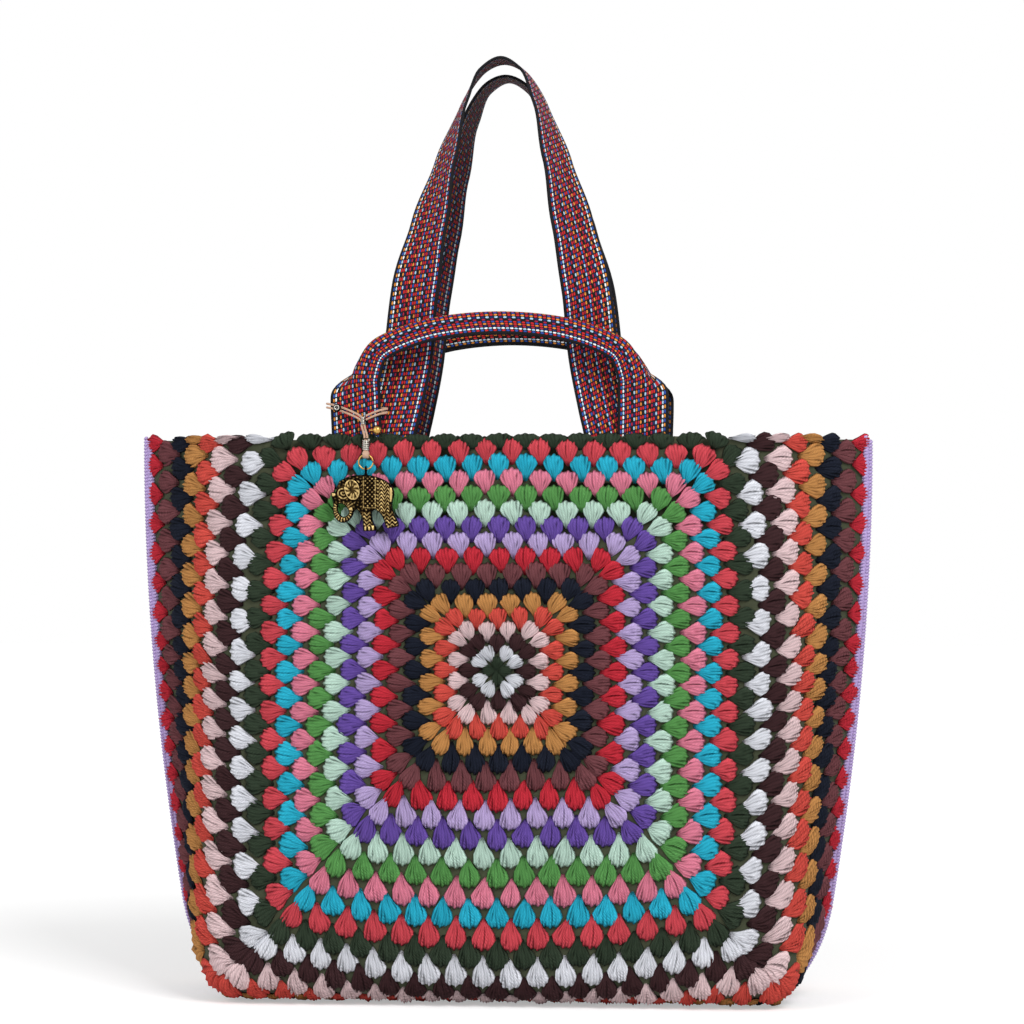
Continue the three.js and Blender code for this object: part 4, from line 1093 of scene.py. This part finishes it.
def elephant_mesh():
    """Two cushioned faces in relief, joined along the outline, and the eyelet."""
    outline, gap = elephant_loops()
    grid = np.mgrid[-25:24:RELIEF_STEP, -23:17.5:RELIEF_STEP].reshape(2, -1).T
    body = inside(grid, outline) & ~inside(grid, gap)
    grid = grid[body & (edge_distance(grid, (outline, gap)) > 0.25)]
    rims = [(k, (k + 1) % len(outline)) for k in range(len(outline))]
    rims += [(len(outline) + k, len(outline) + (k + 1) % len(gap)) for k in range(len(gap))]
    flat = [Vector(at) for at in np.concatenate([outline, gap, grid])]
    made = geometry.delaunay_2d_cdt(flat, rims, [], 0, 1e-5)
    places, faces = np.array([tuple(at) for at in made[0]]), np.array(made[2])
    middles = places[faces].mean(axis=1)
    faces = faces[inside(middles, outline) & ~inside(middles, gap)]
    x, z = places.T
    far = edge_distance(places, (outline, gap))
    pillow = 1.0 + 1.5 * np.sqrt(1 - (1 - np.clip(far / 3.2, 0, 1)) ** 2)
    relief, tone = (part * ease(far, 0.2, 0.8) for part in elephant_relief(x, z))
    shape = bmesh.new()
    height = shape.verts.layers.float.new("relief")
    sides = []
    for sign, lift in ((-1, relief), (1, 0.4 * relief)):
        side = [shape.verts.new(at) for at in np.stack([x, sign * (pillow + lift), z], axis=-1)]
        for vert, value in zip(side, tone):
            vert[height] = value
        sides.append(side)
    used = {}
    for face in faces:
        for side in sides:
            shape.faces.new([side[k] for k in face])
        for a, b in ((face[0], face[1]), (face[1], face[2]), (face[2], face[0])):
            used.setdefault((min(a, b), max(a, b)), []).append((a, b))
    for edges in used.values():
        if len(edges) == 1:
            a, b = edges[0]
            shape.faces.new([sides[0][a], sides[0][b], sides[1][b], sides[1][a]])
    bmesh.ops.delete(shape, geom=[v for v in shape.verts if not v.link_faces], context="VERTS")
    turns = np.linspace(-math.pi / 2, 1.5 * math.pi, 17)
    ring = [(0, 2.35 * math.cos(t), EYELET_UP + 2.35 * math.sin(t)) for t in turns]
    foot = [(0, 0, 15.2), (0, 0, 17.6)]
    for part in (strand("eyelet", ring, 0.65, 8, 32), strand("eyelet_foot", foot, 1.2, 10, 2)):
        part.transform(Matrix.Scale(1 / MM, 4))
        shape.from_mesh(part)
    return solid("cast_elephant", shape, Matrix.Translation(ELEPHANT_AT * MM) @ Matrix.Scale(MM, 4))


def metal(name, hollow, face, bright, rough):
    """Worn metal, dark in the hollows of its relief and bright where it is rubbed."""
    material, tree, shader = finish(name, Metallic=1.0)
    relief = node(tree, "ShaderNodeAttribute", attribute_name="relief").outputs["Fac"]
    where = node(tree, "ShaderNodeTexCoord").outputs["Object"]
    wear = node(tree, "ShaderNodeTexNoise", {"Vector": where, "Scale": 520, "Detail": 5}).outputs[0]
    height = maths(tree, "MULTIPLY_ADD", wear, 1.3, maths(tree, "SUBTRACT", relief, 0.7))
    stops = [(0.15, colour(hollow)), (0.5, colour(face)), (0.9, colour(bright))]
    tree.links.new(ramp(tree, height, stops), shader.inputs[0])
    tree.links.new(maths(tree, "MULTIPLY_ADD", wear, 0.3, rough), shader.inputs["Roughness"])
    return material


ANTIQUE_BRASS = metal("antique_brass", "0c0906", "4f3d20", "c4a970", 0.2)
elephant = add("cast_elephant", elephant_mesh(), ANTIQUE_BRASS)
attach(elephant, "elephant")
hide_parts("elephant_charm")


# Jump ring: a ring of gold-coloured wire, cut through at the side. It carries the elephant and hangs in the
# suede tab.
BRASS = metal("gold_wire", "b8934f", "c9a662", "e6cd92", 0.12)
RING_RADIUS, RING_WIRE = 5, 0.52
ring_turns = np.linspace(math.radians(6), math.radians(354), 25)
ring_path = [
    tuple(CHARM_AT + (RING_RADIUS * math.cos(t), 0, RING_RADIUS * math.sin(t))) for t in ring_turns
]
ring = add("wire_ring", strand("wire_ring", ring_path, RING_WIRE, 10, 72), BRASS)
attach(ring, "ring")
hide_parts("jump_ring")


# Coil bead and wrap: silver-coloured wire wound over the cords, the thicker coil above the charm and the
# thinner wrap round the knot.
def wound_wire_tree():
    """A close coil of wire upwards from its foot."""
    tree, sockets, given = node_group("wound_wire", "Coil", (
        ("Start", "Geometry"), ("Foot", "Vector"), ("Turns", "Float"), ("Radius", "Float"),
        ("Length", "Float"), ("Wire", "Float"), ("Metal", "Material"),
    ))
    middle = maths(tree, "SUBTRACT", given["Radius"], given["Wire"])
    height = maths(tree, "SUBTRACT", given["Length"], maths(tree, "MULTIPLY", given["Wire"], 2.0))
    line = node(tree, "GeometryNodeCurveSpiral", {
        "Resolution": 24, "Rotations": given["Turns"], "Start Radius": middle, "End Radius": middle,
        "Height": height,
    }).outputs[0]
    coil = tube(tree, line, given["Wire"])
    up = node(tree, "ShaderNodeCombineXYZ", (0.0, 0.0, given["Wire"])).outputs[0]
    foot = node(tree, "ShaderNodeVectorMath", (given["Foot"], up), operation="ADD").outputs[0]
    placed = node(tree, "GeometryNodeTransform", {"Geometry": coil, "Translation": foot}).outputs[0]
    real = node(tree, "GeometryNodeRealizeInstances", (placed,)).outputs[0]
    group_end(tree, real, given["Metal"])
    return tree, sockets


SILVER = metal("silver_wire", "a8a49c", "c4c0b8", "efece6", 0.12)
wire_group = wound_wire_tree()
for name, stands_for, foot, turns, radius, length, wire in (
    ("wound_coil", "coil_bead", CHARM_AT + (0, 0, 7.55), 5, 2.8, 8.4, 0.7),
    ("wound_wrap", "wrap_bead", np.array(HANDLE_LEG) + (5, -4.45, 7.4), 5, 1.7, 6.0, 0.5),
):
    bead = add(name, grown(bpy.data.meshes.new(f"{name}_start"), wire_group, {
        "Foot": tuple(foot * MM), "Turns": float(turns), "Radius": radius * MM, "Length": length * MM,
        "Wire": wire * MM, "Metal": SILVER,
    }))
    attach(bead, "bag")
    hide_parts(stands_for)


# Suede tab: a strip of the cord's suede, folded under the jump ring, with both ends gathered into the coil
# bead.
def tab_mesh():
    """The strip along its fold, narrowed where the ends are gathered."""
    path = [(-0.75, 15.4), (-0.8, 9.2), (-1.5, 7.4), (-1.92, 5.9), (-1.92, 5), (-1.36, 3.64), (0, 3.08)]
    path += [(-y, z) for y, z in path[-2::-1]]
    line = np.array(smooth_line([(0, *at) for at in path], 44))
    out = np.cross(along_line(line)[0], (1.0, 0.0, 0.0))
    turns = np.linspace(0, 2 * math.pi, 12, endpoint=False)
    points = []
    for at, side in zip(line, out):
        half = mix(2.2, 1.0, ease(at[2], 6, 9))
        thick = mix(0.62, 0.5, ease(at[2], 6, 9))
        for t in turns:
            wide = half * np.sign(math.cos(t)) * abs(math.cos(t)) ** 0.6
            deep = thick * np.sign(math.sin(t)) * abs(math.sin(t)) ** 0.7
            points.append(CHARM_AT + at + (wide, 0, 0) + side * deep)
    n = len(turns)
    faces = tube_faces(len(line), n)
    faces += [list(range(n))[::-1], [len(points) - n + j for j in range(n)]]
    strip = bpy.data.meshes.new("tab_strip")
    strip.from_pydata((np.array(points) * MM).tolist(), [], faces)
    shape = bmesh.new()
    shape.from_mesh(strip)
    return solid("suede_tab", shape, Matrix())


tab = add("suede_tab", tab_mesh(), SUEDE)
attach(tab, "bag")
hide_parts("leather_tab")


# Bell: a small brass ball, hollow and slit below, on a short stem that is tied in beside the cords.
BELL_AT = np.array([-83.8, -52.504, 396.42])
BELL_RADIUS, BELL_INNER = 3.2, 2.5


def turned(name, profile, steps):
    """A closed turned shape about the Z axis, from a closed run of radii and heights in millimetres."""
    turns = np.linspace(0, 2 * math.pi, steps, endpoint=False)
    points = [(r * math.cos(t), r * math.sin(t), h) for r, h in profile for t in turns]
    mesh = bpy.data.meshes.new(name)
    mesh.from_pydata((np.array(points) * MM).tolist(), [], tube_faces(len(profile), steps, closed=True))
    return mesh


def bell_mesh():
    """A ball shell whose poles are at its front and back, open along a slit below."""
    steps, slit, lip = 36, range(20, 35), 4  # the slit lies between the rows lip and lip + 1
    rows = [math.radians(a) for a in (-84, -65, -45, -25, -6.3, 6.3, 25, 45, 65, 84)]
    turns = np.linspace(0, 2 * math.pi, steps, endpoint=False)
    shape = bmesh.new()
    shells = []
    for radius in (BELL_RADIUS, BELL_INNER):
        shell = []
        for a in rows:
            wide, y = radius * math.cos(a), radius * math.sin(a)
            shell.append([shape.verts.new((wide * math.cos(t), y, wide * math.sin(t))) for t in turns])
        for k in range(len(rows) - 1):
            for j in range(steps):
                if k != lip or j not in slit:
                    n = (j + 1) % steps
                    shape.faces.new([shell[k][j], shell[k][n], shell[k + 1][n], shell[k + 1][j]])
        for end in (shell[0], shell[-1]):
            shape.faces.new(end)
        shells.append(shell)
    outer, inner = shells
    first, last = slit[0], slit[-1] + 1
    for j in slit:
        for k in (lip, lip + 1):
            shape.faces.new([outer[k][j], outer[k][j + 1], inner[k][j + 1], inner[k][j]])
    for j in (first, last):
        shape.faces.new([outer[lip][j], outer[lip + 1][j], inner[lip + 1][j], inner[lip][j]])
    profile = [(0.05, -5.2), (0.75, -5.2), (0.6, -4.6), (0.6, -3.4), (0.9, -2.9), (0.05, -2.9)]
    stem = turned("bell_stem", profile, 12)
    stem.transform(Matrix.Scale(1 / MM, 4) @ Matrix.Rotation(math.pi / 2, 4, "Y"))
    shape.from_mesh(stem)
    return solid("jingle_bell", shape, Matrix.Translation(BELL_AT * MM) @ Matrix.Scale(MM, 4))


bell = add("jingle_bell", bell_mesh(), BRASS)
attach(bell, "bag")
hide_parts("bell_bead")


# Toggle: a drilled ball of dark metal on the left turn of the loop, with a bright collar round its bore.
TOGGLE_AT = Vector((-111.5, -53.076, 412))
TOGGLE_RADIUS, TOGGLE_BORE = 2.8, 0.8
ball_turns = np.radians(np.linspace(31, 149, 13))
ball = [(TOGGLE_RADIUS * math.sin(a), -TOGGLE_RADIUS * math.cos(a)) for a in ball_turns]
collar_turns = np.linspace(0, 2 * math.pi, 10, endpoint=False)
collar = [(1.45 + 0.5 * math.cos(a), 2.35 + 0.5 * math.sin(a)) for a in collar_turns]
DARK_METAL = metal("dark_metal", "231f1c", "3d3732", "6d655c", 0.3)
toggle_shape = bmesh.new()
for index, profile in enumerate(([(TOGGLE_BORE, -2.4), *ball, (TOGGLE_BORE, 2.4)], collar)):
    first = len(toggle_shape.faces)
    toggle_shape.from_mesh(turned("toggle", profile, 24))
    for face in list(toggle_shape.faces)[first:]:
        face.material_index = index
toggle_place = Matrix.Translation(TOGGLE_AT * MM) @ Matrix.Rotation(math.pi / 2, 4, "X")
toggle_mesh = solid("drilled_toggle", toggle_shape, toggle_place)
toggle = add("drilled_toggle", toggle_mesh, DARK_METAL, SILVER)
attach(toggle, "bag")
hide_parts("toggle_bead")


# Floor and light: a white sweep with the bag's soft shadow on it, a large lamp above on the right, a
# weaker one on the left, and even light from all round.
FLOOR_HALF = 6  # metres
GLOW_REACH, GLOW = (0.3, 1.3), (0.4, 0.68)  # the sweep whitens from the bag outwards, by metres
ROOM_LIGHT = 0.45  # of the room's white, as light on the bag


def seen_straight(tree):
    """1 where the camera looks, also in a mirror or through glass, and 0 for the light that is cast."""
    rays = node(tree, "ShaderNodeLightPath").outputs
    seen = maths(tree, "MAXIMUM", rays["Is Camera Ray"], rays["Is Glossy Ray"])
    return maths(tree, "MAXIMUM", seen, rays["Is Transmission Ray"])


floor_mesh = bpy.data.meshes.new("floor")
floor_corners = [(FLOOR_HALF * x, FLOOR_HALF * y, 0) for x, y in ((-1, -1), (1, -1), (1, 1), (-1, 1))]
floor_mesh.from_pydata(floor_corners, [], [(0, 1, 2, 3)])
floor_finish = bpy.data.materials.new("white_sweep")
floor_finish.use_nodes = True
floor_tree = floor_finish.node_tree
floor_tree.nodes.clear()
matt = node(floor_tree, "ShaderNodeBsdfDiffuse", ((0.8, 0.8, 0.8, 1),)).outputs[0]
where = node(floor_tree, "ShaderNodeTexCoord").outputs["Object"]
away = node(floor_tree, "ShaderNodeVectorMath", (where,), operation="LENGTH").outputs["Value"]
level = node(
    floor_tree, "ShaderNodeMapRange", (away, *GLOW_REACH, *GLOW), interpolation_type="SMOOTHSTEP"
).outputs[0]
strength = maths(floor_tree, "MULTIPLY", seen_straight(floor_tree), level)
glow = node(floor_tree, "ShaderNodeEmission", ((1, 1, 1, 1), strength)).outputs[0]
both = node(floor_tree, "ShaderNodeAddShader", (matt, glow)).outputs[0]
node(floor_tree, "ShaderNodeOutputMaterial", (both,))
floor = add("floor", floor_mesh, floor_finish)

world = bpy.data.worlds.new("white_room")
world.use_nodes = True
world_tree = world.node_tree
world_shade = world_tree.nodes["Background"]
world_shade.inputs[0].default_value = (1, 1, 1, 1)
room = maths(world_tree, "MULTIPLY_ADD", seen_straight(world_tree), 1 - ROOM_LIGHT, ROOM_LIGHT)
world_tree.links.new(room, world_shade.inputs[1])
scene.world = world


def lamp(name, place, target, size, watts):
    """A square lamp that faces its target."""
    data = bpy.data.lights.new(name, "AREA")
    data.size = size
    data.energy = watts
    made = bpy.data.objects.new(name, data)
    made.location = place
    made.rotation_euler = (Vector(target) - Vector(place)).to_track_quat("-Z", "Y").to_euler()
    scene.collection.objects.link(made)


lamp("key_lamp", (1.2, -1.8, 2.0), (0, 0, 0.3), 1.2, 48)
lamp("fill_lamp", (-1.6, -1.6, 1.2), (0, 0, 0.3), 1.6, 18)
scene.view_settings.view_transform = "Standard"
